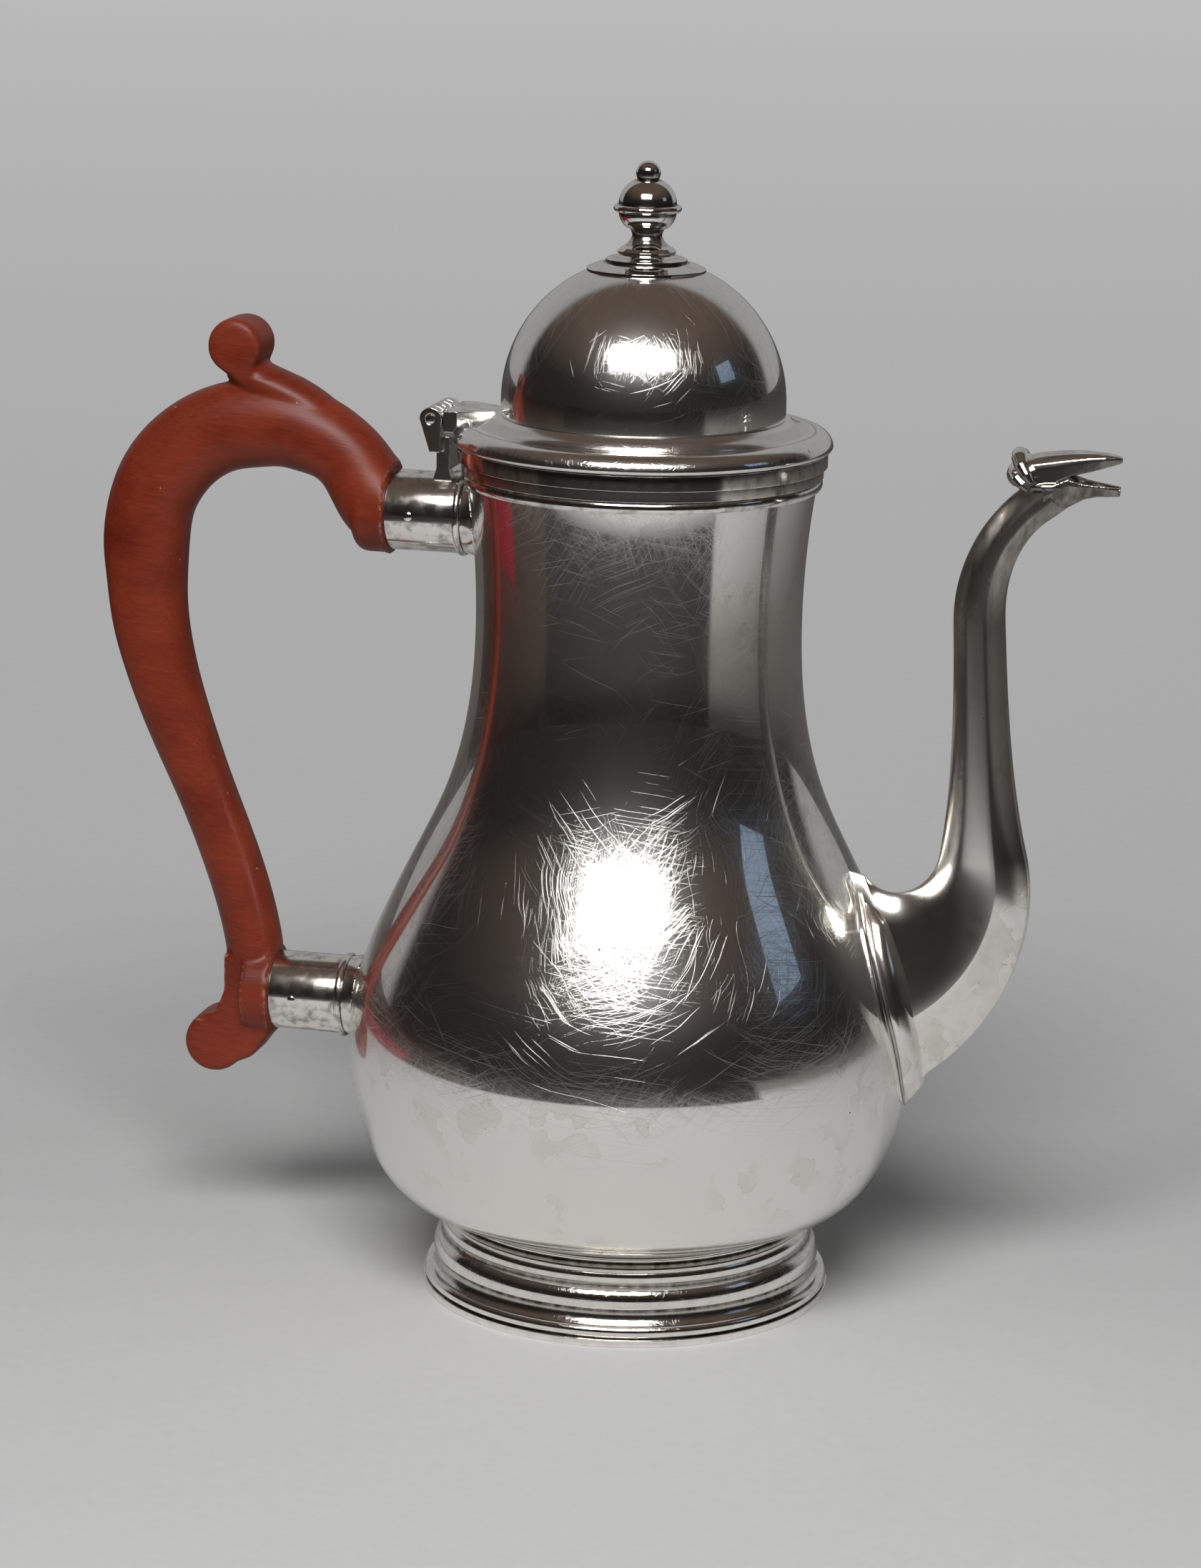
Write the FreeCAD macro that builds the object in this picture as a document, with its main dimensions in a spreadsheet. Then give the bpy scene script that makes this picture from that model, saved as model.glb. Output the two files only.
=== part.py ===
import FreeCAD, Part
import itertools
import math
import os
import re

import Sketcher
from FreeCAD import Placement, Rotation, Vector

# A silver coffee pot: a raised baluster body on a stepped foot, a wooden handle pinned into two sockets,
# a cast panelled spout that ends in a bird's head, and a domed lid on a five-knuckle hinge.
# Millimetres. Z is up, the origin is the centre of the foot on the table, the spout points to +X.

doc = FreeCAD.newDocument("coffee_pot")
dims = doc.addObject("Spreadsheet::Sheet", "dims")

# Driving sizes, each with what it measures
SIZES = (
    ("solder_gap", 0.05, "room for solder between fixed pieces"),
    ("moving_gap", 0.3, "room between the lid and what it passes"),
    ("pin_fit", 0.05, "radial room round a pin"),
    ("body_wall", 1.1, "thickness of the raised body"),
    ("heel_bend", 22.3, "radius of the turn from base to bowl"),
    ("bowl_bend", 56.0, "radius of the bowl below the belly"),
    ("belly_radius", 62.5, "widest radius of the body"),
    ("belly_rise", 38.6, "height of the widest place over the base"),
    ("shoulder_bend", 52.0, "radius of the shoulder above the belly"),
    ("waist_bend", 94.0, "radius of the hollow between the shoulder's straight side and the neck"),
    ("neck_run", 6.0, "straight height of the neck below its narrowest place"),
    ("neck_radius", 35.4, "narrowest radius of the body"),
    ("neck_rise", 95.0, "height of the narrowest place over the widest"),
    ("flare_bend", 190.0, "radius of the flare up to the mouth"),
    ("mouth_rise", 36.9, "height of the body's top edge over the narrowest place"),
    ("strainer_hole_radius", 1.3, "radius of a strainer hole"),
    ("strainer_pitch_across", 3.6, "distance between holes, across"),
    ("strainer_pitch_up", 6.0, "distance between holes, upwards"),
    ("foot_spread", 9.2, "how far the foot stands out past the body's flat base"),
    ("foot_wire_width", 3.6, "width of the ring that stands on the table"),
    ("foot_wire_height", 4.3, "height of the foot wire"),
    ("foot_fillet_height", 1.6, "height of the wire's square edge"),
    ("foot_wire_step", 0.9, "setback of the wire's round above its edge"),
    ("foot_cove_step", 1.8, "setback of the cove's foot from the foot's edge"),
    ("foot_ridge_step", 0.5, "setback of the ridge from the cove's foot"),
    ("foot_cove_height", 3.5, "height of the cove"),
    ("foot_ridge_width", 0.6, "width of the ridge"),
    ("foot_ovolo_step", 1.7, "setback of the upper edge from the ridge"),
    ("foot_ovolo_height", 4.5, "height of the round over the cove"),
    ("foot_edge_width", 0.8, "width of the upper edge"),
    ("foot_band_step", 1.0, "setback of the plain band from the upper edge"),
    ("foot_band_height", 2.9, "height of the plain band"),
    ("foot_throat_depth", 0.9, "depth of the small hollow under the bead"),
    ("foot_throat_height", 1.6, "height of the small hollow under the bead"),
    ("foot_bead_width", 0.75, "width of the bead under the body"),
    ("foot_seat_width", 5.0, "width of the foot's top that carries the body"),
    ("foot_wall", 1.6, "thickness of the foot"),
    ("bead_share", 0.6, "radius of a bead's round as a share of its height"),
    ("hollow_share", 1.0, "radius of a small hollow as a share of its height"),
    ("rim_stand", 0.93, "how far the band round the mouth stands out past the body"),
    ("rim_band_height", 3.3, "height of the band round the mouth"),
    ("rim_bead_height", 2.6, "height of the bead under the band"),
    ("rim_drop", 8.3, "height of the whole rim moulding"),
    ("rim_step", 0.85, "setback of each step of the rim moulding"),
    ("socket_radius", 8.8, "outside radius of a handle socket"),
    ("socket_wall", 0.9, "wall of a handle socket"),
    ("socket_length", 17.0, "length of a handle socket"),
    ("socket_ring_width", 1.5, "width of the wire round a socket's inner end"),
    ("socket_ring_seat", 0.15, "straight height of that wire's section"),
    ("collar_flare", 1.4, "growth of the collar towards the body"),
    ("collar_reach", 8.0, "how far the collar's blank runs into the body"),
    ("upper_socket_rise", 19.8, "height of the upper socket's axis over the body's narrowest place"),
    ("upper_socket_stand", 3.1, "distance of the upper socket's inner end from the narrowest radius"),
    ("lower_socket_rise", 3.4, "height of the lower socket's axis over the body's widest place"),
    ("lower_socket_stand", 2.1, "distance of the lower socket's inner end from the widest radius"),
    ("handle_pin_radius", 1.25, "radius of a handle pin"),
    ("handle_pin_inset", 5.6, "distance of a handle pin from its socket's mouth"),
    ("tenon_fit", 0.08, "radial room round a tenon"),
    ("tenon_length", 14.0, "length of a tenon"),
    ("tenon_root", 2.0, "how far a tenon runs back into the wood"),
    ("handle_shoulder", 1.4, "how far the wood stands out past a socket"),
    ("handle_heel_run", 8.0, "length of the wood's heel behind the upper socket"),
    ("handle_heel_stand", 0.8, "how far the heel stands out past the socket"),
    ("handle_heel_ease", 3.0, "radius of the heel's rounded end"),
    ("handle_squareness", 0.94, "power that squares the handle's oval section"),
    ("handle_width", 16.0, "thickness of the handle across the arch"),
    ("handle_arch_bend", 27.0, "radius of the arch, on the handle's centre line"),
    ("handle_arch_offset", 30.0, "distance of the arch's centre outwards from the upper socket's mouth"),
    ("handle_arch_drop", 9.8, "drop of the arch's centre below the upper socket"),
    ("handle_arch_start", 45, "angle above level where the arch begins, degrees"),
    ("handle_arch_depth", 19.4, "depth of the wood over the arch"),
    ("handle_neck_depth", 16.4, "depth of the wood between the upper socket and the arch"),
    ("handle_spring_power", 1.5, "power of the wood's rise from the upper socket to the arch"),
    ("handle_side_run", 8.0, "straight run of the handle below the arch"),
    ("handle_side_thinning", 0.15, "share of the thinning that is done at the end of the straight run"),
    ("handle_thinning", 1.6, "how fast the handle thins along the grip"),
    ("handle_grip_depth", 12.6, "depth of the wood at the bottom of the grip"),
    ("handle_grip_width", 13.6, "thickness of the handle at the bottom of the grip"),
    ("handle_grip_inset", 4.8, "distance of the grip's centre line from the lower socket's mouth"),
    ("thumb_scroll_radius", 6.2, "radius of the thumb scroll"),
    ("thumb_scroll_offset", 5.0, "distance of the thumb scroll outwards from the arch's centre"),
    ("thumb_scroll_rise", 7.6, "height of the thumb scroll's centre over the top of the arch"),
    ("thumb_scroll_width", 13.0, "thickness of the thumb scroll"),
    ("thumb_strip_depth", 9.0, "depth of the strip that rolls up into the thumb scroll"),
    ("thumb_strip_width", 12.2, "thickness of that strip"),
    ("thumb_strip_lift", 3.4, "rise of the strip off the arch below the scroll"),
    ("tail_scroll_radius", 6.9, "radius of the lower scroll"),
    ("tail_scroll_offset", 13.8, "distance of the lower scroll outwards from the lower socket's mouth"),
    ("tail_scroll_drop", 12.5, "drop of the lower scroll below the lower socket"),
    ("tail_scroll_width", 12.0, "thickness of the lower scroll"),
    ("tail_block_height", 17.2, "height of the wood behind the lower socket"),
    ("tail_block_end", 12.6, "height of that wood where it runs into the lower scroll"),
    ("tail_block_sag", 2.8, "how far its underside hangs below the lower scroll's centre"),
    ("scroll_ease", 1.2, "radius of the eased edges of the scrolls"),
    ("spout_wall", 1.2, "wall of the spout's castings"),
    ("spout_inset_share", 0.43, "share of the root's depth that its inner end is set inwards"),
    ("spout_root_stand", 12.42, "distance outside the widest radius from which that is counted"),
    ("spout_root_lift", 15.0, "height of the spout's inner end over the body's widest place"),
    ("spout_root_run", 12.2, "straight run of the root"),
    ("spout_root_rise", 20.0, "angle of the root above level, degrees"),
    ("spout_knee_bend", 27.0, "radius of the spout's knee"),
    ("spout_lean", 3.0, "lean of the riser back towards the body, degrees"),
    ("spout_riser", 52.0, "length of the riser"),
    ("spout_throat_bend", 31.0, "radius of the bend under the head"),
    ("spout_head_rise", 40.0, "angle of the spout's end above level, degrees"),
    ("spout_root_depth", 62.6, "depth of the root, front to back"),
    ("spout_neck_depth", 10.6, "depth of the neck, front to back"),
    ("spout_root_width", 15.0, "width of the root"),
    ("spout_neck_width", 10.2, "width of the neck"),
    ("spout_depth_taper", 4, "power of the depth's taper from root to neck"),
    ("spout_width_taper", 2, "power of the width's taper from root to neck"),
    ("spout_panel_share", 0.56, "share of the depth that the side panel takes"),
    ("spout_edge_share", 0.36, "share of the width that the front and back panels take"),
    ("head_length", 18.2, "reach of the upper beak past the neck"),
    ("head_beak_rise", 11.8, "height of the upper beak's tip over the neck's end"),
    ("head_crest_rise", 12.8, "height of the crest over the neck's end"),
    ("head_crest_back", 4.0, "distance of the crest behind the neck's end"),
    ("head_mouth_corner", 6.7, "distance of the mouth's corner past the neck's end"),
    ("head_chin_rise", 2.0, "height of the chin over the neck's end"),
    ("head_brow_reach", 10.0, "distance of the brow past the crest"),
    ("head_brow_rise", 0.5, "height of the brow over the upper beak's tip"),
    ("head_nape_reach", 3.8, "distance of the dip behind the brow past the crest"),
    ("head_nape_drop", 1.0, "depth of the dip behind the brow below the upper beak's tip"),
    ("head_gape", 5.2, "opening between the beak's tips"),
    ("head_beak_tip", 1.3, "thickness of each beak at its tip"),
    ("head_tip_width", 3.0, "width of the beak at its tip"),
    ("head_channel_radius", 3.2, "radius of the channel through the head"),
    ("head_channel_length", 12.0, "length of the channel through the head"),
    ("apron_thickness", 2.4, "thickness of the flange round the spout's root"),
    ("apron_width", 18.8, "widest width of the flange"),
    ("apron_foot_margin", 0.8, "reach of the flange's lower tip below the spout's root"),
    ("apron_middle_drop", 6.0, "drop of the flange's widest place below the spout's inner end"),
    ("apron_head_margin", 0.8, "reach of the flange's upper end above the spout's root"),
    ("apron_top_width", 10.0, "width of the flange's upper end"),
    ("apron_tip_width", 1.6, "width of the flange's lower tip"),
    ("apron_bend_share", 1.6, "radius of the flange's sides as a share of their height"),
    ("hinge_stand", 4.2, "distance of the hinge pin outside the lid's flange"),
    ("hinge_rise", 4.1, "height of the hinge pin over the flange's underside"),
    ("hinge_length", 16.0, "length of the hinge along its pin"),
    ("hinge_pin_radius", 1.1, "radius of the hinge pin"),
    ("barrel_radius", 2.5, "outside radius of a knuckle"),
    ("bracket_tail", 7.2, "drop of the fixed leaf's tail below the pin"),
    ("bracket_tail_width", 2.2, "width of the tail's end"),
    ("bracket_tail_lean", 0.9, "distance of the tail's middle from the pin, towards the body"),
    ("stem_width", 2.8, "width of the stem that carries the fixed leaf"),
    ("stem_length", 9.0, "length of the stem along the pin"),
    ("stem_offset", 0.4, "distance of the stem's back from the pin"),
    ("stem_head_drop", 4.2, "drop of the stem's top below the pin"),
    ("stem_foot_spread", 1.8, "spread of the stem's foot on the socket"),
    ("stem_foot_height", 1.4, "height of the stem's foot over the socket"),
    ("leaf_drop", 2.7, "drop of the lid leaf's underside below the pin"),
    ("leaf_thickness", 4.6, "thickness of the lid leaf"),
    ("leaf_square", 3.0, "length of the leaf's square end"),
    ("leaf_end_width", 6.0, "width of the leaf where it meets the dome"),
    ("flange_overhang", 1.05, "how far the lid's flange stands out past the band round the mouth"),
    ("flange_lip", 0.8, "radius of the flange's lower edge"),
    ("flange_rise", 4.0, "height of the flange's roll"),
    ("flange_roll_width", 3.5, "width of the flange's roll"),
    ("flange_roll_bend", 3.6, "radius of the flange's roll"),
    ("flange_groove", 0.35, "depth and half width of the groove inside the roll"),
    ("flange_slope_rise", 2.4, "height of the hollow up to the dome"),
    ("flange_slope_bend", 8.0, "radius of the hollow up to the dome"),
    ("flange_ledge", 0.9, "ledge of the flange round the dome's foot"),
    ("flange_skin", 1.2, "thickness of the flange under the dome"),
    ("bezel_clearance", 0.8, "radial room between bezel and mouth"),
    ("bezel_wall", 1.0, "wall of the bezel"),
    ("bezel_depth", 8.0, "depth of the bezel in the mouth"),
    ("bezel_rise", 2.9, "how far the bezel stands up inside the flange"),
    ("dome_inset", 10.35, "setback of the dome from the flange's edge"),
    ("dome_wall", 1.0, "thickness of the dome"),
    ("dome_skirt", 3.1, "straight height at the foot of the dome"),
    ("plate_radius", 12.8, "radius of the disc under the finial"),
    ("plate_edge", 0.35, "thickness of the disc inside its edge"),
    ("plate_step", 1.3, "width of the disc's step"),
    ("plate_step_height", 0.5, "height of the disc's step"),
    ("plate_rise", 0.9, "height of the disc's middle over the crown of the dome"),
    ("plate_hollow_bend", 12.0, "radius of the disc's hollow slope"),
    ("finial_base_radius", 6.2, "radius of the finial's base"),
    ("finial_base_height", 1.3, "thickness of the finial's base"),
    ("finial_waist_radius", 3.2, "radius of the finial's waist"),
    ("finial_waist_rise", 2.4, "height of the waist over the base"),
    ("finial_bulb_radius", 6.2, "radius of the finial's bulb"),
    ("bulb_share", 1.15, "radius of the bulb's curves as a share of its own radius"),
    ("finial_collar_radius", 6.65, "radius of the finial's collar"),
    ("finial_bulb_rise", 5.35, "height of the bulb from the waist to the collar"),
    ("finial_collar_width", 1.5, "width of the collar"),
    ("finial_neck_radius", 2.5, "radius of the neck under the button"),
    ("finial_knop_rise", 5.65, "height of the neck under the button over the collar"),
    ("finial_button_rise", 3.5, "height of the button"),
    ("shank_radius", 2.0, "radius of the finial's shank"),
    ("shank_end", 2.2, "how far the shank runs below the nut's top"),
    ("nut_radius", 5.0, "radius of the nut inside the lid"),
    ("nut_height", 2.2, "height of the nut inside the lid"),
)

# Sizes that follow from the driving ones, each with its rule and what it measures
DERIVED = (
    (
        "base_radius",
        "belly_radius - bowl_bend + sqrt((bowl_bend - heel_bend)^2 - (belly_rise - heel_bend)^2)",
        "radius of the body's flat base",
    ),
    ("foot_radius", "base_radius + foot_spread", "radius of the foot on the table"),
    ("foot_cove_radius", "foot_radius - foot_cove_step", "foot radius at the bottom of its cove"),
    ("foot_ridge_radius", "foot_cove_radius - foot_ridge_step", "foot radius at its ridge"),
    ("foot_edge_radius", "foot_ridge_radius - foot_ovolo_step", "foot radius at its upper edge"),
    ("foot_band_radius", "foot_edge_radius - foot_band_step", "foot radius at its plain band"),
    ("foot_ridge_height", "foot_wire_height + foot_cove_height", "underside of the ridge"),
    ("foot_edge_height", "foot_ridge_height + foot_ovolo_height", "underside of the upper edge"),
    ("foot_band_top", "foot_edge_height + foot_edge_width + foot_band_height", "top of the plain band"),
    ("foot_bead_foot", "foot_band_top + foot_throat_height", "underside of the bead under the body"),
    ("foot_top", "foot_bead_foot + foot_bead_width", "top of the foot"),
    ("base_height", "foot_top + solder_gap", "underside of the body's flat base"),
    ("belly_height", "base_height + belly_rise", "height of the widest place"),
    ("neck_height", "belly_height + neck_rise", "height of the narrowest place"),
    ("mouth_height", "neck_height + mouth_rise", "top edge of the body"),
    ("mouth_radius", "neck_radius + flare_bend - sqrt(flare_bend^2 - mouth_rise^2)", "radius at the mouth"),
    ("rim_radius", "mouth_radius + rim_stand", "radius of the band round the mouth"),
    ("upper_socket_height", "neck_height + upper_socket_rise", "height of the upper socket's axis"),
    (
        "upper_socket_reach",
        "neck_radius + upper_socket_stand + socket_length",
        "distance of the upper socket's mouth from the pot's axis",
    ),
    ("lower_socket_height", "belly_height + lower_socket_rise", "height of the lower socket's axis"),
    (
        "lower_socket_reach",
        "belly_radius + lower_socket_stand + socket_length",
        "distance of the lower socket's mouth from the pot's axis",
    ),
    (
        "handle_arch_reach",
        "upper_socket_reach + handle_arch_offset",
        "distance of the arch's centre from the pot's axis",
    ),
    (
        "spout_root_reach",
        "belly_radius + spout_root_stand - spout_inset_share * spout_root_depth",
        "distance of the spout's inner end from the pot's axis",
    ),
    ("spout_root_height", "belly_height + spout_root_lift", "height of the spout's inner end"),
    ("apron_middle", "spout_root_height - apron_middle_drop", "height of the flange's widest place"),
    ("flange_height", "mouth_height + moving_gap", "underside of the lid's flange"),
    ("flange_radius", "rim_radius + flange_overhang", "radius of the lid's flange"),
    ("hinge_reach", "flange_radius + hinge_stand", "distance of the hinge pin from the pot's axis"),
    ("hinge_height", "flange_height + hinge_rise", "height of the hinge pin"),
    ("dome_radius", "flange_radius - dome_inset", "radius of the dome"),
    ("dome_base", "flange_height + flange_rise + flange_slope_rise", "foot of the dome"),
)


lines = itertools.count(1)


def enter(alias, content, meaning):
    """Writes one named size on the next line of the sheet."""
    line = next(lines)
    dims.set(f"A{line}", meaning)
    dims.set(f"B{line}", content)
    dims.setAlias(f"B{line}", alias)


for alias, value, meaning in SIZES:
    enter(alias, str(value), meaning)
for alias, rule, meaning in DERIVED:
    enter(alias, f"={rule}", meaning)
doc.recompute()


def size(rule):
    """The value of a size, or of a rule written in the sheet's words."""
    return float(dims.evalExpression(rule))


def tied(rule):
    """A rule in the sheet's words, as an expression on the sheet's cells."""
    return re.sub(r"[a-z]\w*(?![\w(])", r"dims.\g<0>", rule)


def place(thing, across="0", along="0", up="0", rotation=Rotation()):
    """Stands a piece at a place that follows the sheet."""
    thing.Placement = Placement(Vector(size(across), size(along), size(up)), rotation)
    thing.setExpression("Placement.Base.x", tied(across))
    thing.setExpression("Placement.Base.y", tied(along))
    thing.setExpression("Placement.Base.z", tied(up))


# Outlines: a corner is (across, up) or (across, up, turn, bend), where the edge that leaves it is an arc


def arc(first, last, bend):
    """The short arc of radius bend that runs anticlockwise from first to last."""
    chord = last - first
    half = chord.Length / 2
    inward = Vector(-chord.y, chord.x, 0).normalize()
    centre = (first + last) * 0.5 + inward * math.sqrt(max(bend**2 - half**2, 0))
    begin = math.atan2(first.y - centre.y, first.x - centre.x)
    finish = math.atan2(last.y - centre.y, last.x - centre.x)
    return Part.ArcOfCircle(Part.Circle(centre, Vector(0, 0, 1), bend), begin, finish)


def measure(sketch, kind, spot, rule):
    """Adds one measured constraint to a sketch and ties it to the sheet."""
    number = sketch.addConstraint(Sketcher.Constraint(kind, *spot, size(rule)))
    sketch.setExpression(f"Constraints[{number}]", tied(rule))


def draw(sketch, outline):
    """Draws a closed outline whose corners and bends all follow the sheet."""
    corners = [Vector(size(corner[0]), size(corner[1]), 0) for corner in outline]
    ends = []
    first_edge = sketch.GeometryCount
    for index, corner in enumerate(outline):
        start = corners[index]
        end = corners[(index + 1) % len(corners)]
        if len(corner) == 2:
            sketch.addGeometry(Part.LineSegment(start, end), False)
            ends.append((1, 2))
        elif corner[2] == "left":
            sketch.addGeometry(arc(start, end, size(corner[3])), False)
            ends.append((1, 2))
        else:
            sketch.addGeometry(arc(end, start, size(corner[3])), False)
            ends.append((2, 1))
    for index, corner in enumerate(outline):
        edge = first_edge + index
        following = (index + 1) % len(outline)
        meeting = (edge, ends[index][1], first_edge + following, ends[following][0])
        sketch.addConstraint(Sketcher.Constraint("Coincident", *meeting))
        measure(sketch, "DistanceX", (-1, 1, edge, ends[index][0]), corner[0])
        measure(sketch, "DistanceY", (-1, 1, edge, ends[index][0]), corner[1])
        if len(corner) == 4:
            measure(sketch, "Radius", (edge,), corner[3])


def backwards(outline):
    """The same line from its last corner to its first."""
    opposite = {"left": "right", "right": "left"}
    line = []
    for index in range(len(outline) - 1, -1, -1):
        corner = outline[index][:2]
        before = outline[index - 1] if index else ()
        bend = (opposite[before[2]], before[3]) if len(before) == 4 else ()
        line.append((*corner, *bend))
    return line


def flat_sketch(body, name, role="XZ_Plane", raised=None):
    """An empty sketch on one of a body's own planes, raised from it if asked."""
    sketch = body.newObject("Sketcher::SketchObject", name)
    support = next(feature for feature in body.Origin.OriginFeatures if feature.Role == role)
    sketch.AttachmentSupport = [(support, "")]
    sketch.MapMode = "FlatFace"
    if raised:
        sketch.setExpression("AttachmentOffset.Base.z", tied(raised))
    return sketch


def turned(label, outline):
    """A turned piece: its half section revolved about the upright axis."""
    body = doc.addObject("PartDesign::Body", label)
    sketch = flat_sketch(body, label + "_section")
    draw(sketch, outline)
    turning = body.newObject("PartDesign::Revolution", label + "_turning")
    turning.Profile = sketch
    turning.ReferenceAxis = (sketch, ["V_Axis"])
    turning.Angle = 360
    return body


def sawn(label, outline, thickness, role="XZ_Plane", raised=None):
    """A flat piece: an outline given a thickness, half to each side unless it is raised."""
    body = doc.addObject("PartDesign::Body", label)
    sketch = flat_sketch(body, label + "_outline", role, raised)
    draw(sketch, outline)
    pad = body.newObject("PartDesign::Pad", label + "_pad")
    pad.Profile = sketch
    pad.SideType = "One side" if raised else "Symmetric"
    pad.setExpression("Length", tied(thickness))
    return body


def pierce(body, name, circles, side, role="XZ_Plane"):
    """Round holes right through a body, each circle (across, up, radius)."""
    sketch = flat_sketch(body, name + "_circles", role)
    for across, up, radius in circles:
        centre = Vector(size(across), size(up), 0)
        ring = sketch.addGeometry(Part.Circle(centre, Vector(0, 0, 1), size(radius)), False)
        measure(sketch, "DistanceX", (-1, 1, ring, 3), across)
        measure(sketch, "DistanceY", (-1, 1, ring, 3), up)
        measure(sketch, "Radius", (ring,), radius)
    doc.recompute()
    before = body.Shape.Volume
    pocket = body.newObject("PartDesign::Pocket", name)
    pocket.Profile = sketch
    pocket.Type = "ThroughAll"
    pocket.SideType = side
    pocket.Reversed = side == "One side"
    doc.recompute()
    if body.Shape.Volume >= before:
        raise RuntimeError(f"{name} cuts nothing")


def rod(label, radius, length, across, up):
    """A round rod along Y, centred on the pot's middle plane."""
    piece = doc.addObject("Part::Cylinder", label)
    piece.setExpression("Radius", tied(radius))
    piece.setExpression("Height", tied(length))
    place(piece, across, f"({length}) / 2", up, Rotation(Vector(1, 0, 0), 90))
    return piece


def joined(label, *pieces):
    """Several solids made one."""
    piece = doc.addObject("Part::MultiFuse", label)
    piece.Shapes = list(pieces)
    return piece


def cut(label, blank, *tools):
    """A blank with every tool taken out of it."""
    piece = doc.addObject("Part::Cut", label)
    piece.Base = blank
    piece.Tool = tools[0] if len(tools) == 1 else joined(label + "_tools", *tools)
    return piece


def shared(label, one, other):
    """What two solids have in common."""
    piece = doc.addObject("Part::Common", label)
    piece.Base = one
    piece.Tool = other
    return piece


def shaped(label, shape):
    """A piece whose shape is worked out from the sheet."""
    piece = doc.addObject("Part::Feature", label)
    piece.Shape = shape
    return piece


# Body: one line of tangent arcs and straights, used for the wall's two faces and for what is fitted against it


def body_line(offset):
    """The body's outside from the middle of its base to its mouth, moved outwards by offset."""
    bowl_x = "(belly_radius - bowl_bend)"
    heel_z = "(belly_height - base_height - heel_bend)"
    heel_r = "(bowl_bend - heel_bend)"
    heel_x = f"sqrt({heel_r}^2 - {heel_z}^2)"
    both_bends = "(shoulder_bend + waist_bend)"
    centres_across = f"({both_bends} - belly_radius + neck_radius)"
    centres_up = "(neck_height - neck_run - belly_height)"
    centres_apart = f"({centres_across}^2 + {centres_up}^2)"
    side_length = f"sqrt({centres_apart} - {both_bends}^2)"
    out = f"(({both_bends} * {centres_across} + {side_length} * {centres_up}) / {centres_apart})"
    up = f"(({both_bends} * {centres_up} - {side_length} * {centres_across}) / {centres_apart})"
    mouth_sag = f"sqrt((flare_bend - {offset})^2 - (mouth_height - neck_height)^2)"
    return [
        ("0", f"base_height - {offset}"),
        ("base_radius", f"base_height - {offset}", "left", f"heel_bend + {offset}"),
        (
            f"{bowl_x} + {heel_x} / {heel_r} * (bowl_bend + {offset})",
            f"belly_height - {heel_z} / {heel_r} * (bowl_bend + {offset})",
            "left",
            f"bowl_bend + {offset}",
        ),
        (f"belly_radius + {offset}", "belly_height", "left", f"shoulder_bend + {offset}"),
        (
            f"belly_radius - shoulder_bend + (shoulder_bend + {offset}) * {out}",
            f"belly_height + (shoulder_bend + {offset}) * {up}",
        ),
        (
            f"neck_radius + waist_bend - (waist_bend - {offset}) * {out}",
            f"neck_height - neck_run - (waist_bend - {offset}) * {up}",
            "right",
            f"waist_bend - {offset}",
        ),
        (f"neck_radius + {offset}", "neck_height - neck_run"),
        (f"neck_radius + {offset}", "neck_height", "right", f"flare_bend - {offset}"),
        (f"neck_radius + flare_bend - {mouth_sag}", "mouth_height"),
    ]


INSIDE = "(0 - body_wall)"
mouth_bore = f"(neck_radius + flare_bend - sqrt((flare_bend + body_wall)^2 - ({{}} - neck_height)^2))"

body_shell = turned("body_shell", body_line("0") + backwards(body_line(INSIDE)))
holes = [
    (
        f"{column} * strainer_pitch_across",
        f"spout_root_height + {rank} * strainer_pitch_up",
        "strainer_hole_radius",
    )
    for rank in (-2, -1, 0, 1, 2)
    for column in (-1, 0, 1)
]
pierce(body_shell, "strainer", holes, "One side", "YZ_Plane")

# The room that the body takes, with its solder, which trims everything soldered to it
body_room = turned("body_room", body_line("solder_gap") + [("0", "mouth_height")])

# Foot: a wire that stands on the table, and a stepped ring above it that carries the body

foot_inside = "foot_radius - foot_wire_width"
foot_wire = turned(
    "foot_wire",
    [
        (foot_inside, "0"),
        ("foot_radius", "0"),
        ("foot_radius", "foot_fillet_height"),
        (
            "foot_radius - foot_wire_step",
            "foot_fillet_height",
            "left",
            "(foot_wire_height - foot_fillet_height) * bead_share",
        ),
        ("foot_radius - foot_wire_step", "foot_wire_height"),
        (foot_inside, "foot_wire_height"),
    ],
)

foot_ring = turned(
    "foot_ring",
    [
        (foot_inside, "foot_wire_height"),
        ("foot_cove_radius", "foot_wire_height", "right", "foot_cove_height * hollow_share"),
        ("foot_ridge_radius - foot_ridge_width", "foot_ridge_height"),
        ("foot_ridge_radius", "foot_ridge_height"),
        (
            "foot_ridge_radius",
            "foot_ridge_height + foot_ridge_width",
            "left",
            "foot_ovolo_height",
        ),
        ("foot_edge_radius", "foot_edge_height"),
        ("foot_edge_radius", "foot_edge_height + foot_edge_width"),
        ("foot_band_radius", "foot_edge_height + foot_edge_width"),
        ("foot_band_radius", "foot_band_top", "right", "foot_throat_height * hollow_share"),
        ("foot_band_radius - foot_throat_depth", "foot_bead_foot"),
        ("foot_band_radius", "foot_bead_foot", "left", "foot_bead_width * bead_share"),
        ("foot_band_radius", "foot_top"),
        ("foot_band_radius - foot_seat_width", "foot_top"),
        ("foot_band_radius - foot_seat_width", "foot_top - foot_wall"),
        ("foot_band_radius - foot_wall", "foot_band_top - foot_wall"),
    ],
)

# Rim moulding: a stepped wire soldered round the outside of the mouth

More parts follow.
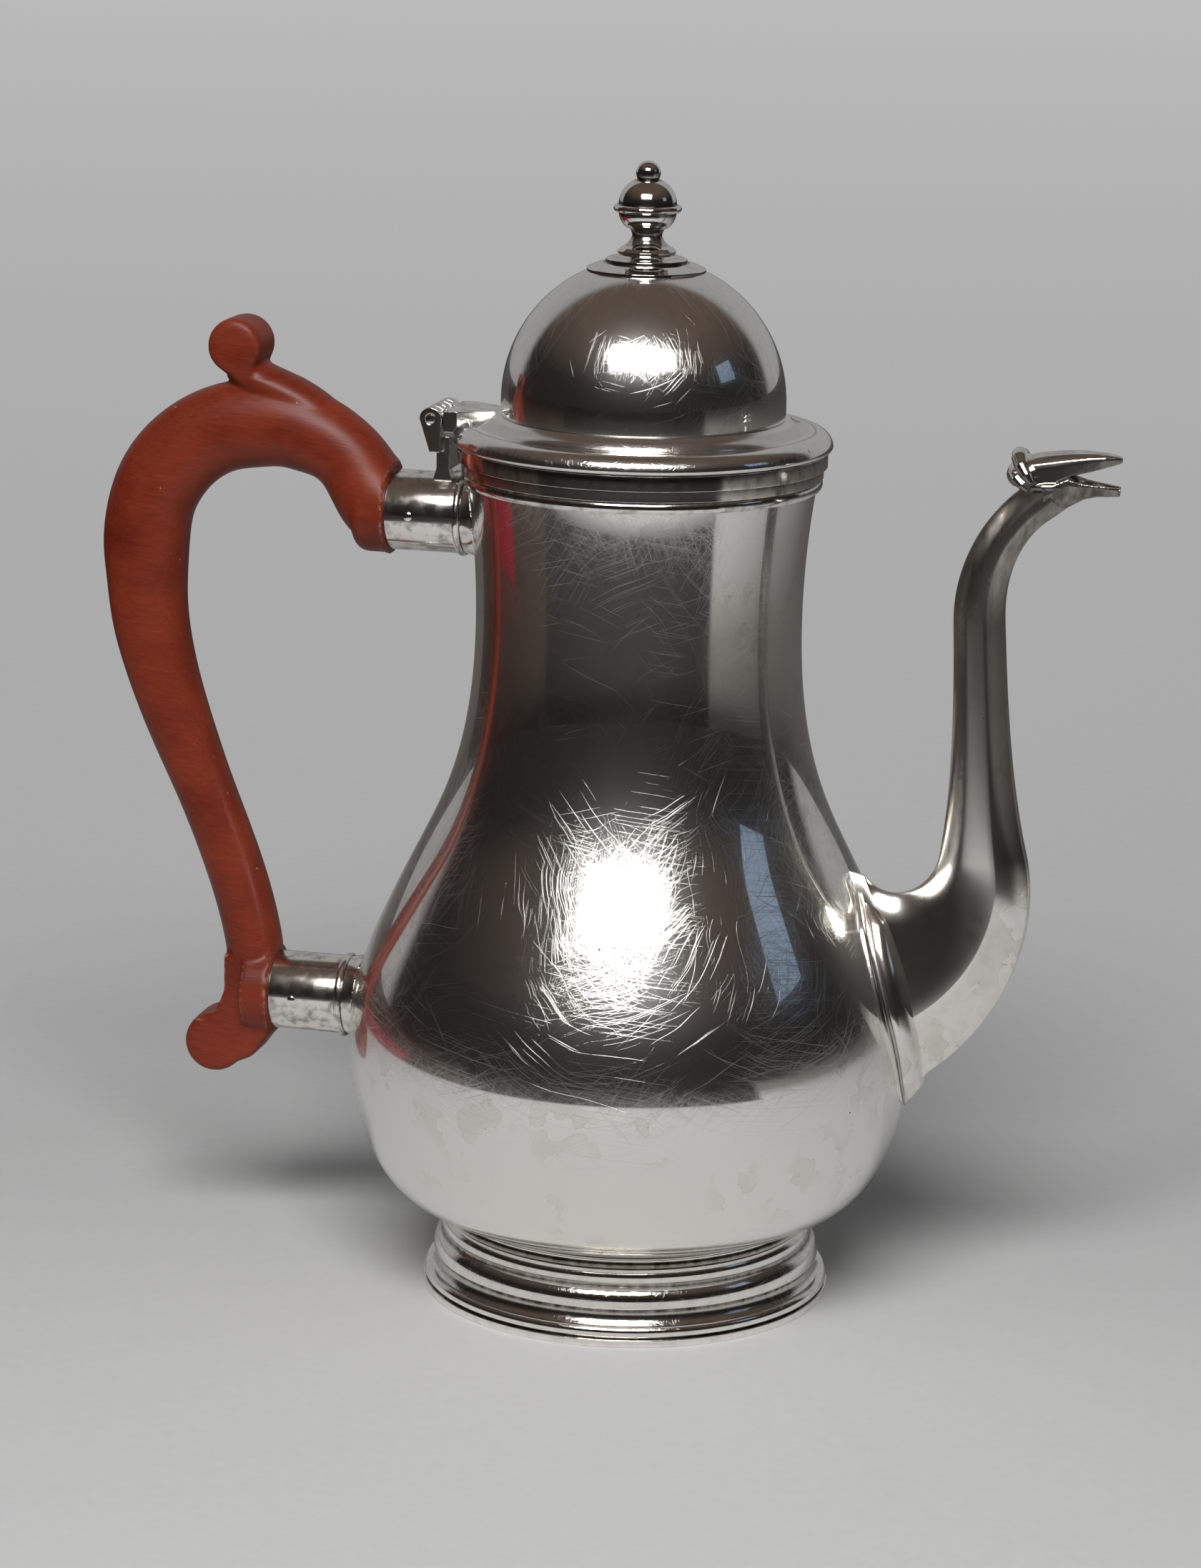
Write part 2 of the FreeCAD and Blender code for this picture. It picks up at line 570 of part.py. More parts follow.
rim_foot = "(mouth_height - rim_drop)"
rim_blank = turned(
    "rim_moulding_blank",
    [
        ("neck_radius", rim_foot),
        ("rim_radius - 2 * rim_step", rim_foot, "left", "rim_bead_height * bead_share"),
        ("rim_radius - 2 * rim_step", f"{rim_foot} + rim_bead_height"),
        ("rim_radius - rim_step", f"{rim_foot} + rim_bead_height"),
        ("rim_radius - rim_step", "mouth_height - rim_band_height"),
        ("rim_radius", "mouth_height - rim_band_height"),
        ("rim_radius", "mouth_height"),
        ("neck_radius", "mouth_height"),
    ],
)
rim_moulding = cut("rim_moulding", rim_blank, body_room)

# Handle sockets: a tube, a bead wire round its inner end and a flared collar soldered to the body

OUTWARDS = Rotation(Vector(0, 1, 0), -90)
socket_bore = "(socket_radius - socket_wall)"
pin_hole = "handle_pin_radius + pin_fit"


def handle_socket(end, *neighbours):
    """The three silver pieces that hold one end of the handle, trimmed to their neighbours, and its pin."""
    height = f"{end}_socket_height"
    reach = f"{end}_socket_reach"
    back = f"({reach} - socket_length)"
    tube = turned(
        f"{end}_socket",
        [
            (socket_bore, back),
            ("socket_radius", back),
            ("socket_radius", reach),
            (socket_bore, reach),
        ],
    )
    place(tube, up=height, rotation=OUTWARDS)
    pierce(tube, f"{end}_pin_hole", [("0", f"{reach} - handle_pin_inset", pin_hole)], "Symmetric")
    wire_foot = "(socket_radius + solder_gap)"
    wire = turned(
        f"{end}_socket_ring",
        [
            (wire_foot, back),
            (f"{wire_foot} + socket_ring_seat", back, "left", "socket_ring_width * bead_share"),
            (f"{wire_foot} + socket_ring_seat", f"{back} + socket_ring_width"),
            (wire_foot, f"{back} + socket_ring_width"),
        ],
    )
    place(wire, up=height, rotation=OUTWARDS)
    blank = turned(
        f"{end}_collar_blank",
        [
            ("0", f"{back} - solder_gap"),
            ("0", f"{back} - collar_reach"),
            ("socket_radius + collar_flare", f"{back} - collar_reach"),
            (
                "socket_radius + collar_flare",
                f"{back} - collar_reach / 2",
                "right",
                "collar_reach",
            ),
            ("socket_radius", f"{back} - solder_gap"),
        ],
    )
    place(blank, up=height, rotation=OUTWARDS)
    collar = cut(f"{end}_socket_collar", blank, body_room, *neighbours)
    pin = rod(
        f"{end}_handle_pin",
        "handle_pin_radius",
        "2 * socket_radius",
        f"handle_pin_inset - {reach}",
        height,
    )
    return [tube, wire, collar, pin]


upper_socket_pieces = handle_socket("upper", rim_blank)
lower_socket_pieces = handle_socket("lower")

# Handle: one piece of wood, an arch and a grip of oval section, with two scrolls and two tenons


OVAL_POINTS = 16
GRIP_STEPS = 10
# Shares of the way from the upper socket to the arch, and angles round the arch, that get a section
SPRING_SHARES = (0, 0.35, 0.7)
ARCH_ANGLES = (60, 75, 90, 110, 130, 155, 180)
# Angle round the arch and share of the full lift for each section of the thumb strip
STRIP_SECTIONS = ((44, -0.7), (56, -0.3), (68, 0.15), (78, 0.55), (87, 1))
CURL_HEADING = 140


def oval(centre, heading, depth, width):
    """A closed oval across a path in the middle plane; heading is in degrees from +X up."""
    turn = math.radians(heading)
    across = Vector(math.sin(turn), 0, -math.cos(turn))
    squareness = size("handle_squareness")
    points = []
    for step in range(OVAL_POINTS):
        angle = 2 * math.pi * step / OVAL_POINTS
        in_plane = math.copysign(abs(math.cos(angle)) ** squareness, math.cos(angle))
        sideways = math.copysign(abs(math.sin(angle)) ** squareness, math.sin(angle))
        points.append(centre + across * (in_plane * depth / 2) + Vector(0, sideways * width / 2, 0))
    curve = Part.BSplineCurve()
    curve.interpolate(Points=points, PeriodicFlag=True)
    return Part.Wire([curve.toShape()])


def slab(points, thickness):
    """A flat block in the middle plane."""
    corners = [Vector(x, -thickness / 2, z) for x, z in points]
    face = Part.Face(Part.makePolygon(corners + corners[:1]))
    return face.extrude(Vector(0, thickness, 0))


def drum(x, z, radius, width):
    """A scroll's end: a round drum across the handle with eased edges."""
    solid = Part.makeCylinder(radius, width, Vector(x, -width / 2, z), Vector(0, 1, 0))
    rims = [edge for edge in solid.Edges if isinstance(edge.Curve, Part.Circle)]
    return solid.makeFillet(size("scroll_ease"), rims)


def handle_shape():
    """The handle's wood, pierced for its two pins."""
    top_x = -size("upper_socket_reach + solder_gap")
    top_z = size("upper_socket_height")
    foot_x = -size("lower_socket_reach + solder_gap")
    foot_z = size("lower_socket_height")
    arch_x = -size("handle_arch_reach")
    arch_z = size("upper_socket_height - handle_arch_drop")
    bend = size("handle_arch_bend")
    width = size("handle_width")
    depth = size("handle_arch_depth")
    neck_depth = size("handle_neck_depth")
    grip_width = size("handle_grip_width")
    grip_depth = size("handle_grip_depth")
    shoulder = 2 * size("socket_radius + handle_shoulder")
    grip_x = foot_x - size("handle_grip_inset")

    spring = size("handle_arch_start")
    turn = math.radians(spring)
    spring_bend = bend + (depth - neck_depth) / 2
    rise_x = arch_x + spring_bend * math.cos(turn) - top_x
    rise_z = arch_z + spring_bend * math.sin(turn) - top_z
    sections = []
    for share in SPRING_SHARES:
        heading = 180 - (90 - spring) * math.sin(share * math.pi / 2)
        centre = Vector(top_x + rise_x * share, 0, top_z + rise_z * share ** size("handle_spring_power"))
        section_depth = shoulder + (neck_depth - shoulder) * share
        section_width = shoulder + (width - shoulder) * share
        sections.append(oval(centre, heading, section_depth, section_width))
    for angle in (spring, *ARCH_ANGLES):
        turn = math.radians(angle)
        full = min(1, (angle - spring) / (90 - spring))
        section_bend = spring_bend + (bend - spring_bend) * full
        section_depth = neck_depth + (depth - neck_depth) * full
        centre = Vector(arch_x + section_bend * math.cos(turn), 0, arch_z + section_bend * math.sin(turn))
        sections.append(oval(centre, angle + 90, section_depth, width))
    side_x = arch_x - bend
    side_z = arch_z - size("handle_side_run")
    for step in range(GRIP_STEPS + 1):
        share = step / GRIP_STEPS
        swing = share**2 * (3 - 2 * share)
        centre = Vector(side_x + (grip_x - side_x) * swing, 0, side_z + (foot_z - side_z) * share)
        lean = math.atan2((grip_x - side_x) * 6 * share * (1 - share), side_z - foot_z)
        thin = min(1, size("handle_side_thinning") + size("handle_thinning") * share)
        section_depth = depth + (grip_depth - depth) * thin
        section_width = width + (grip_width - width) * thin
        sections.append(oval(centre, 270 + math.degrees(lean), section_depth, section_width))
    wood = Part.makeLoft(sections, True, False)

    thumb_radius = size("thumb_scroll_radius")
    thumb_width = size("thumb_scroll_width")
    thumb_x = arch_x - size("thumb_scroll_offset")
    thumb_z = arch_z + bend + depth / 2 + size("thumb_scroll_rise")
    strip_depth = size("thumb_strip_depth")
    strip_width = size("thumb_strip_width")
    strip_bend = bend + depth / 2 - strip_depth / 2
    strip = []
    for angle, lift in STRIP_SECTIONS:
        turn = math.radians(angle)
        reach = strip_bend + lift * size("thumb_strip_lift")
        centre = Vector(arch_x + reach * math.cos(turn), 0, arch_z + reach * math.sin(turn))
        strip.append(oval(centre, angle + 90, strip_depth, strip_width))
    curl = Vector(thumb_x, 0, thumb_z - thumb_radius + strip_depth / 4)
    strip.append(oval(curl, CURL_HEADING, strip_depth, strip_width))
    thumb_strip = Part.makeLoft(strip, True, False)
    tail_radius = size("tail_scroll_radius")
    tail_width = size("tail_scroll_width")
    tail_x = foot_x - size("tail_scroll_offset")
    tail_z = foot_z - size("tail_scroll_drop")
    block_half = size("tail_block_height") / 2
    end_half = size("tail_block_end") / 2
    foot_block = slab(
        [
            (foot_x, foot_z + block_half),
            (grip_x - grip_depth / 2, foot_z + block_half),
            (grip_x - grip_depth / 2, foot_z),
            (tail_x, tail_z + end_half),
            (tail_x, tail_z - end_half),
            (grip_x, tail_z - size("tail_block_sag")),
            (foot_x, foot_z - block_half),
        ],
        tail_width,
    )
    tenon_radius = size(f"{socket_bore} - tenon_fit")
    tenon_length = size("tenon_length")
    root = size("tenon_root")
    seat = grip_depth / 2
    inwards = Vector(1, 0, 0)
    heel_run = size("handle_heel_run")
    heel_radius = size("socket_radius + handle_heel_stand")
    heel = Part.makeCylinder(heel_radius, heel_run, Vector(top_x - heel_run, 0, top_z), inwards)
    heel_end = [edge for edge in heel.Edges if edge.BoundBox.XMax < top_x - heel_run / 2]
    heel = heel.makeFillet(size("handle_heel_ease"), heel_end)
    wood = wood.multiFuse(
        [
            heel,
            thumb_strip,
            drum(thumb_x, thumb_z, thumb_radius, thumb_width),
            foot_block,
            drum(tail_x, tail_z, tail_radius, tail_width),
            Part.makeCylinder(shoulder / 2, seat, Vector(foot_x - seat, 0, foot_z), inwards),
            Part.makeCylinder(tenon_radius, tenon_length + root, Vector(foot_x - root, 0, foot_z), inwards),
            Part.makeCylinder(tenon_radius, tenon_length + root, Vector(top_x - root, 0, top_z), inwards),
        ]
    )
    mouth_room = Part.makeCylinder(shoulder / 2, tenon_length, Vector(foot_x, 0, foot_z), inwards)
    tenon = Part.makeCylinder(tenon_radius, tenon_length, Vector(foot_x, 0, foot_z), inwards)
    wood = wood.cut(mouth_room.cut(tenon))
    for end in ("upper", "lower"):
        hole_x = -size(f"{end}_socket_reach - handle_pin_inset")
        start = Vector(hole_x, -shoulder, size(f"{end}_socket_height"))
        wood = wood.cut(Part.makeCylinder(size(pin_hole), 2 * shoulder, start, Vector(0, 1, 0)))
    return wood


handle = shaped("handle", handle_shape())

# Spout: two hollow cast halves that meet in the middle plane, panelled, with a bird's head for a lip


def spout_stations():
    """Places along the spout's centre line, as (x, z, heading in degrees, distance along)."""
    x = size("spout_root_reach")
    z = size("spout_root_height")
    heading = size("spout_root_rise")
    riser_heading = 90 + size("spout_lean")
    end_heading = size("spout_head_rise")
    moves = [
        (size("spout_root_run"), heading, 2),
        (size("spout_knee_bend"), riser_heading, 5),
        (size("spout_riser"), riser_heading, 3),
        (size("spout_throat_bend"), end_heading, 5),
    ]
    gone = 0
    stations = [(x, z, heading, gone)]
    for amount, next_heading, count in moves:
        turn = math.radians(next_heading - heading) / count
        for _ in range(count):
            step = amount / count if turn == 0 else amount * abs(turn)
            chord = step if turn == 0 else 2 * amount * math.sin(abs(turn) / 2)
            middle = math.radians(heading) + turn / 2
            x += chord * math.cos(middle)
            z += chord * math.sin(middle)
            heading += math.degrees(turn)
            gone += step
            stations.append((x, z, heading, gone))
        heading = next_heading
    return stations


def spout_sections(outline):
    """Sections across the spout's centre line; outline turns half sizes into points (along, across)."""
    stations = spout_stations()
    length = stations[-1][3]
    sections = []
    for x, z, heading, gone in stations:
        left = 1 - gone / length
        fuller = size("spout_root_depth - spout_neck_depth") * left ** size("spout_depth_taper")
        wider = size("spout_root_width - spout_neck_width") * left ** size("spout_width_taper")
        deep = (size("spout_neck_depth") + fuller) / 2
        wide = (size("spout_neck_width") + wider) / 2
        turn = math.radians(heading)
        front = Vector(math.sin(turn), 0, -math.cos(turn))
        points = [
            Vector(x, across, z) + front * along for along, across in outline(deep, wide)
        ]
        sections.append(Part.makePolygon(points + points[:1]))
    return Part.makeLoft(sections, True, False)


def panels(deep, wide):
    """Three panels from the spout's front edge round to its back edge."""
    panel = deep * size("spout_panel_share")
    edge = wide * size("spout_edge_share")
    return [(deep, edge), (panel, wide), (-panel, wide), (-deep, edge)]


def spout_half(label, side):
    """One cast half of the spout: side is -1 nearer the viewer, 1 beyond."""
    wall = size("spout_wall")

    def channel(deep, wide):
        outside = [(deep, 0), *panels(deep, wide), (-deep, 0)]
        inside = [(deep - wall, 0), *panels(deep - wall, wide - wall), (wall - deep, 0)]
        return [(along, side * across) for along, across in outside + inside[::-1]]

    return cut(label, shaped(label + "_blank", spout_sections(channel)), body_room)


spout_near_half = spout_half("spout_near_half", -1)
spout_far_half = spout_half("spout_far_half", 1)


def head_shape():
    """The bird's head: a side outline and a plan outline in common, bored through to the open beak."""
    neck_x, neck_z, heading, _ = spout_stations()[-1]
    turn = math.radians(heading)
    half_depth = size("spout_neck_depth") / 2
    neck_width = size("spout_neck_width")
    tip_x = neck_x + size("head_length")
    beak_z = neck_z + size("head_beak_rise")
    crest_z = neck_z + size("head_crest_rise")
    crest_x = neck_x - size("head_crest_back")
    tip = size("head_beak_tip")
    gape = size("head_gape")
    corner_x = neck_x + size("head_mouth_corner")
    middle_z = beak_z - tip - gape / 2
    back = (neck_x - half_depth * math.sin(turn), neck_z + half_depth * math.cos(turn))
    throat = (neck_x + half_depth * math.sin(turn), neck_z - half_depth * math.cos(turn))
    outline = [
        back,
        throat,
        (corner_x, neck_z + size("head_chin_rise")),
        (tip_x - tip, beak_z - gape - 2 * tip),
        (tip_x - tip / 2, beak_z - gape - tip),
        (corner_x, middle_z - tip / 2),
        (tip_x, beak_z - tip),
        (tip_x, beak_z),
        (crest_x + size("head_brow_reach"), beak_z + size("head_brow_rise")),
        (crest_x + size("head_nape_reach"), beak_z - size("head_nape_drop")),
        (crest_x + tip, crest_z),
        (crest_x - tip, crest_z - tip),
        (back[0] - tip, back[1] + tip),
    ]
    side_view = slab(outline, neck_width)
    tip_width = size("head_tip_width")
    plan = [
        Vector(crest_x - neck_width, -neck_width / 2, 0),
        Vector(corner_x, -neck_width / 2, 0),
        Vector(tip_x, -tip_width / 2, 0),
        Vector(tip_x, tip_width / 2, 0),
        Vector(corner_x, neck_width / 2, 0),
        Vector(crest_x - neck_width, neck_width / 2, 0),
    ]
    plan_view = Part.Face(Part.makePolygon(plan + plan[:1])).extrude(Vector(0, 0, 2 * crest_z))
    along = Vector(math.cos(turn), 0, math.sin(turn))
    start = Vector(neck_x, 0, neck_z) - along
    bore = Part.makeCylinder(size("head_channel_radius"), size("head_channel_length"), start, along)
    return side_view.common(plan_view).cut(bore)


spout_head = shaped("spout_head", head_shape())

# Apron: a shield-shaped flange that follows the body round the spout's root

apron_skin = turned(
    "apron_skin",
    body_line("(solder_gap + apron_thickness)") + backwards(body_line("solder_gap")),
)


def spout_filled(deep, wide):
    """The spout's whole section with room for its solder."""
    gap = size("solder_gap")
    half = panels(deep + gap, wide + gap)
    return half + [(along, -across) for along, across in half[::-1]]


spout_room = shaped("spout_room", spout_sections(spout_filled))
doc.recompute()
root = [vertex.Z for vertex in spout_room.Shape.common(apron_skin.Shape).Vertexes]
enter("root_foot", str(min(root)), "lowest place where the spout meets the body")
enter("root_top", str(max(root)), "highest place where the spout meets the body")
doc.recompute()

apron_foot = "(root_foot - apron_foot_margin)"
apron_head = "(root_top + apron_head_margin)"
apron_shield = doc.addObject("PartDesign::Body", "apron_shield")
apron_sketch = flat_sketch(apron_shield, "apron_outline", "YZ_Plane")
draw(
    apron_sketch,
    [
        ("0 - apron_tip_width / 2", apron_foot),
        ("apron_tip_width / 2", apron_foot, "left", f"apron_bend_share * (apron_middle - {apron_foot})"),
        ("apron_width / 2", "apron_middle", "left", f"apron_bend_share * ({apron_head} - apron_middle)"),
        ("apron_top_width / 2", apron_head),
        ("0 - apron_top_width / 2", apron_head, "left", f"apron_bend_share * ({apron_head} - apron_middle)"),
        ("0 - apron_width / 2", "apron_middle", "left", f"apron_bend_share * (apron_middle - {apron_foot})"),
    ],
)
apron_pad = apron_shield.newObject("PartDesign::Pad", "apron_pad")
apron_pad.Profile = apron_sketch
apron_pad.setExpression("Length", tied("2 * belly_radius"))
apron_blank = shared("spout_apron_blank", apron_skin, apron_shield)
spout_apron = cut("spout_apron", apron_blank, spout_room)

# Hinge: a fixed leaf with three knuckles on a stem that stands on the upper socket, and its pin

pitch = "(hinge_length / 5)"
pin_x = "0 - hinge_reach"
fixed_leaf = sawn(
    "fixed_leaf",
    [
        ("barrel_radius", "0", "left", "barrel_radius"),
        ("0", "barrel_radius", "left", "barrel_radius"),
        ("0 - barrel_radius", "0"),
        ("bracket_tail_lean - bracket_tail_width / 2", "0 - bracket_tail"),
        ("bracket_tail_lean + bracket_tail_width / 2", "0 - bracket_tail"),
    ],
    "hinge_length",
)
place(fixed_leaf, pin_x, up="hinge_height")
socket_top = "(upper_socket_height + socket_radius - hinge_height)"
stem = sawn(
    "hinge_stem",
    [
        ("stem_offset", "0 - stem_head_drop"),
        ("stem_offset", f"{socket_top} + stem_foot_height"),
        ("stem_offset - stem_foot_spread", f"{socket_top} - socket_radius / 2"),
        ("stem_offset + stem_width + stem_foot_spread", f"{socket_top} - socket_radius / 2"),
        ("stem_offset + stem_width", f"{socket_top} + stem_foot_height"),
        ("stem_offset + stem_width", "0 - stem_head_drop"),
    ],
    "stem_length",
)
place(stem, pin_x, up="hinge_height")
bracket_blank = joined("hinge_bracket_blank", fixed_leaf, stem)
socket_room = doc.addObject("Part::Cylinder", "socket_room")
socket_room.setExpression("Radius", tied("socket_radius + solder_gap"))
socket_room.setExpression("Height", tied("2 * hinge_reach"))
place(socket_room, up="upper_socket_height", rotation=OUTWARDS)


def knuckle_room(name, centre):
    """The slot in the fixed leaf that one knuckle of the lid turns in."""
    room = rod(name, "barrel_radius + moving_gap", pitch, pin_x, "hinge_height")
    room.setExpression("Placement.Base.y", tied(f"{centre} + {pitch} / 2"))
    return room


hinge_bore = rod("hinge_bore", "hinge_pin_radius + pin_fit", "2 * hinge_length", pin_x, "hinge_height")
hinge_bracket = cut(
    "hinge_bracket",
    bracket_blank,
    socket_room,
    hinge_bore,
    knuckle_room("near_knuckle_room", "0 - hinge_length / 5"),
    knuckle_room("far_knuckle_room", "hinge_length / 5"),
)
hinge_pin = rod("hinge_pin", "hinge_pin_radius", "hinge_length", pin_x, "hinge_height")

# Lid: a moulded flange, a bezel that seats in the mouth and a dome

bezel_foot = "(flange_height - bezel_depth)"
bezel_radius = f"({mouth_bore.format(bezel_foot)} - bezel_clearance)"
lid_bezel = turned(
    "lid_bezel",
    [
        (f"{bezel_radius} - bezel_wall", bezel_foot),
        (bezel_radius, bezel_foot),
        (bezel_radius, "flange_height + bezel_rise"),
        (f"{bezel_radius} - bezel_wall", "flange_height + bezel_rise"),
    ],
)

groove_radius = "(flange_radius - flange_roll_width)"
roll_top = "(flange_height + flange_rise)"
dome_seat = "(dome_base - solder_gap)"
flange_line = [
    ("flange_radius - flange_lip", "flange_height", "left", "flange_lip"),
    ("flange_radius", "flange_height + flange_lip", "left", "flange_roll_bend"),
    (groove_radius, roll_top),
    (f"{groove_radius} - flange_groove", f"{roll_top} - flange_groove"),
    (f"{groove_radius} - 2 * flange_groove", roll_top, "right", "flange_slope_bend"),
    ("dome_radius + flange_ledge", dome_seat),
]
lid_flange = turned(
    "lid_flange",
    [
        (f"{bezel_radius} + solder_gap", "flange_height"),
        *flange_line,
        ("dome_radius - dome_wall", dome_seat),
        ("dome_radius - dome_wall", f"{dome_seat} - flange_skin"),
        (f"{bezel_radius} + solder_gap", "flange_height + bezel_rise + solder_gap"),
    ],
)

dome_middle = "(dome_base + dome_skirt)"
dome_inner = "(dome_radius - dome_wall)"
shank_hole = "(shank_radius + solder_gap)"
lid_dome = turned(
    "lid_dome",
    [
        (dome_inner, "dome_base"),
        ("dome_radius", "dome_base"),
        ("dome_radius", dome_middle, "left", "dome_radius"),
        (shank_hole, f"{dome_middle} + sqrt(dome_radius^2 - {shank_hole}^2)"),
        (shank_hole, f"{dome_middle} + sqrt({dome_inner}^2 - {shank_hole}^2)", "right", dome_inner),
        (dome_inner, dome_middle),
    ],
)

# The room that flange and dome take, which trims the leaf soldered to them
lid_room = turned(
    "lid_room",
    [
        ("0", "flange_height"),
        *flange_line,
        ("dome_radius", dome_seat),
        ("dome_radius", dome_middle),
        ("0", dome_middle),
    ],
)

# Finial: a stepped disc on the crown of the dome, a turned finial above it and a nut inside

over_dome = "(dome_radius + solder_gap)"
plate_foot = f"({dome_middle} + sqrt({over_dome}^2 - plate_radius^2))"
plate_shelf = f"({dome_middle} + sqrt({over_dome}^2 - (plate_radius - plate_step)^2) + plate_edge)"
plate_top = "(dome_base + dome_skirt + dome_radius + plate_rise)"
finial_plate = turned(
    "finial_plate",
    [
        (shank_hole, f"{dome_middle} + sqrt({over_dome}^2 - {shank_hole}^2)", "right", over_dome),
        ("plate_radius", plate_foot),
        ("plate_radius", plate_shelf),
        ("plate_radius - plate_step", plate_shelf),
        (
            "plate_radius - plate_step",
            f"{plate_shelf} + plate_step_height",
            "right",
            "plate_hollow_bend",
        ),
        ("finial_base_radius", plate_top),
        (shank_hole, plate_top),
    ],
)

base_foot = f"({plate_top} + solder_gap)"
base_top = f"({base_foot} + finial_base_height)"
waist_height = f"({base_top} + finial_waist_rise)"
collar_foot = f"({waist_height} + finial_bulb_rise)"
collar_top = f"({collar_foot} + finial_collar_width)"
button_foot = f"({collar_top} + finial_knop_rise)"
button_bend = "(finial_neck_radius^2 + finial_button_rise^2) / (2 * finial_button_rise)"
nut_top = f"({dome_middle} + sqrt({dome_inner}^2 - nut_radius^2) - solder_gap)"
finial = turned(
    "finial",
    [
        ("0", f"{nut_top} - nut_height - shank_end"),
        ("shank_radius", f"{nut_top} - nut_height - shank_end"),
        ("shank_radius", base_foot),
        ("finial_base_radius", base_foot),
        ("finial_base_radius", base_top, "right", "finial_base_radius"),
        ("finial_waist_radius", waist_height, "left", "finial_bulb_radius * bulb_share"),
        ("finial_bulb_radius", collar_foot),
        ("finial_collar_radius", collar_foot, "left", "finial_collar_width * bead_share"),
        ("finial_collar_radius", collar_top),
        ("finial_bulb_radius", collar_top, "left", "finial_bulb_radius * bulb_share"),
        ("finial_neck_radius", button_foot, "left", button_bend),
        ("0", f"{button_foot} + finial_button_rise"),
    ],
)
finial_nut = turned(
    "finial_nut",
    [
        (shank_hole, f"{nut_top} - nut_height"),
        ("nut_radius", f"{nut_top} - nut_height"),
        ("nut_radius", nut_top),
        (shank_hole, nut_top),
    ],
)

# Lid leaf: a wedge soldered over the flange to the dome, with the hinge's two moving knuckles

leaf_start = "barrel_radius + moving_gap"
leaf_end = "hinge_reach - dome_radius + dome_wall / 2"
leaf_plate = sawn(
    "leaf_plate",
    [
        (leaf_start, "0 - hinge_length / 2"),
        (f"{leaf_start} + leaf_square", "0 - hinge_length / 2"),
        (leaf_end, "0 - leaf_end_width / 2"),
        (leaf_end, "leaf_end_width / 2"),
        (f"{leaf_start} + leaf_square", "hinge_length / 2"),
        (leaf_start, "hinge_length / 2"),
    ],
    "leaf_thickness",
    "XY_Plane",
    "0 - leaf_drop",
)
place(leaf_plate, pin_x, up="hinge_height")
knuckle_length = f"({pitch} - 2 * moving_gap)"


def lid_knuckle(name, centre):
    """One knuckle of the lid with the web that joins it to the leaf."""
    barrel = rod(name + "_barrel", "barrel_radius", knuckle_length, pin_x, "hinge_height")
    barrel.setExpression("Placement.Base.y", tied(f"{centre} + {knuckle_length} / 2"))
    web = doc.addObject("Part::Box", name + "_web")
    web.setExpression("Length", tied(f"{leaf_start} + leaf_square / 2"))
    web.setExpression("Width", tied(knuckle_length))
    web.setExpression("Height", tied("leaf_thickness - leaf_drop + barrel_radius / 2"))
    place(web, pin_x, f"{centre} - {knuckle_length} / 2", "hinge_height - barrel_radius / 2")
    return [barrel, web]


leaf_blank = joined(
    "lid_hinge_leaf_blank",
    leaf_plate,
    *lid_knuckle("near_knuckle", "0 - hinge_length / 5"),
    *lid_knuckle("far_knuckle", "hinge_length / 5"),
)
lid_hinge_leaf = cut("lid_hinge_leaf", leaf_blank, hinge_bore, lid_room)

# Every piece is whole before any file is written

PIECES = [
    body_shell,
    foot_wire,
    foot_ring,
    rim_moulding,
    *upper_socket_pieces,
    *lower_socket_pieces,
    handle,
    spout_near_half,
    spout_far_half,
    spout_head,
    spout_apron,
    hinge_bracket,
    hinge_pin,
    lid_bezel,
    lid_flange,
    lid_dome,
    finial_plate,
    finial,
    finial_nut,
    lid_hinge_leaf,
]
doc.recompute()
for thing in doc.Objects:
    if "Invalid" in thing.State or "Error" in thing.State:
        raise RuntimeError(f"{thing.Label} failed: {thing.State}")
for piece in PIECES:
    if piece.Shape.isNull() or not piece.Shape.isValid():
        raise RuntimeError(f"{piece.Label} has no valid shape")
    if len(piece.Shape.Solids) != 1:
        raise RuntimeError(f"{piece.Label} is {len(piece.Shape.Solids)} solids, not one")

os.makedirs("parts", exist_ok=True)
for piece in PIECES:
    piece.Shape.exportStep(f"parts/{piece.Label}.step")
    print(f"{piece.Label}: {piece.Shape.Volume:.1f} cubic mm")
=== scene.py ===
import math

import bpy
from mathutils import Matrix, Vector


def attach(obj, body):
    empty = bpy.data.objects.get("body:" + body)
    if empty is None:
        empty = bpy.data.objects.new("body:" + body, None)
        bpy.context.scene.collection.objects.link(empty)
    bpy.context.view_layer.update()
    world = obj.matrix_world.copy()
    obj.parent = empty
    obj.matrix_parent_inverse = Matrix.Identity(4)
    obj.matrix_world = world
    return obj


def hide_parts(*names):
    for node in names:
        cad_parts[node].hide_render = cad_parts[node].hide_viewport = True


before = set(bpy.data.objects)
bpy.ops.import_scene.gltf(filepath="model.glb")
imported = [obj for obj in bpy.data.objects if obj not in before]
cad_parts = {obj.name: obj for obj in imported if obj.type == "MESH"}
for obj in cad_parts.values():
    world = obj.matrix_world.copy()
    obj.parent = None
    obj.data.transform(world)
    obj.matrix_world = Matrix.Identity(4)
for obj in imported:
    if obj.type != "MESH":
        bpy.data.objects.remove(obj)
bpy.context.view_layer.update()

# Body: a baluster raised by hammer from one sheet of silver, planished smooth and polished.
# It stands soldered on the foot; fifteen strainer holes are drilled through it behind the spout.

MM = 0.001
TINY = 1e-6
AXIS_RADIUS = 1e-4
SWELL, HOLLOW = 1, -1
TURNING_STEPS = 256
SMOOTH_TURN = math.radians(40)
WORN_TURN = math.radians(16)
WORN_SHARE = 0.4
CORNER_SHARES = (0, 0.33, 0.67, 1)
RECESS_REACH = 0.9
RECESS_DEPTH = 0.3


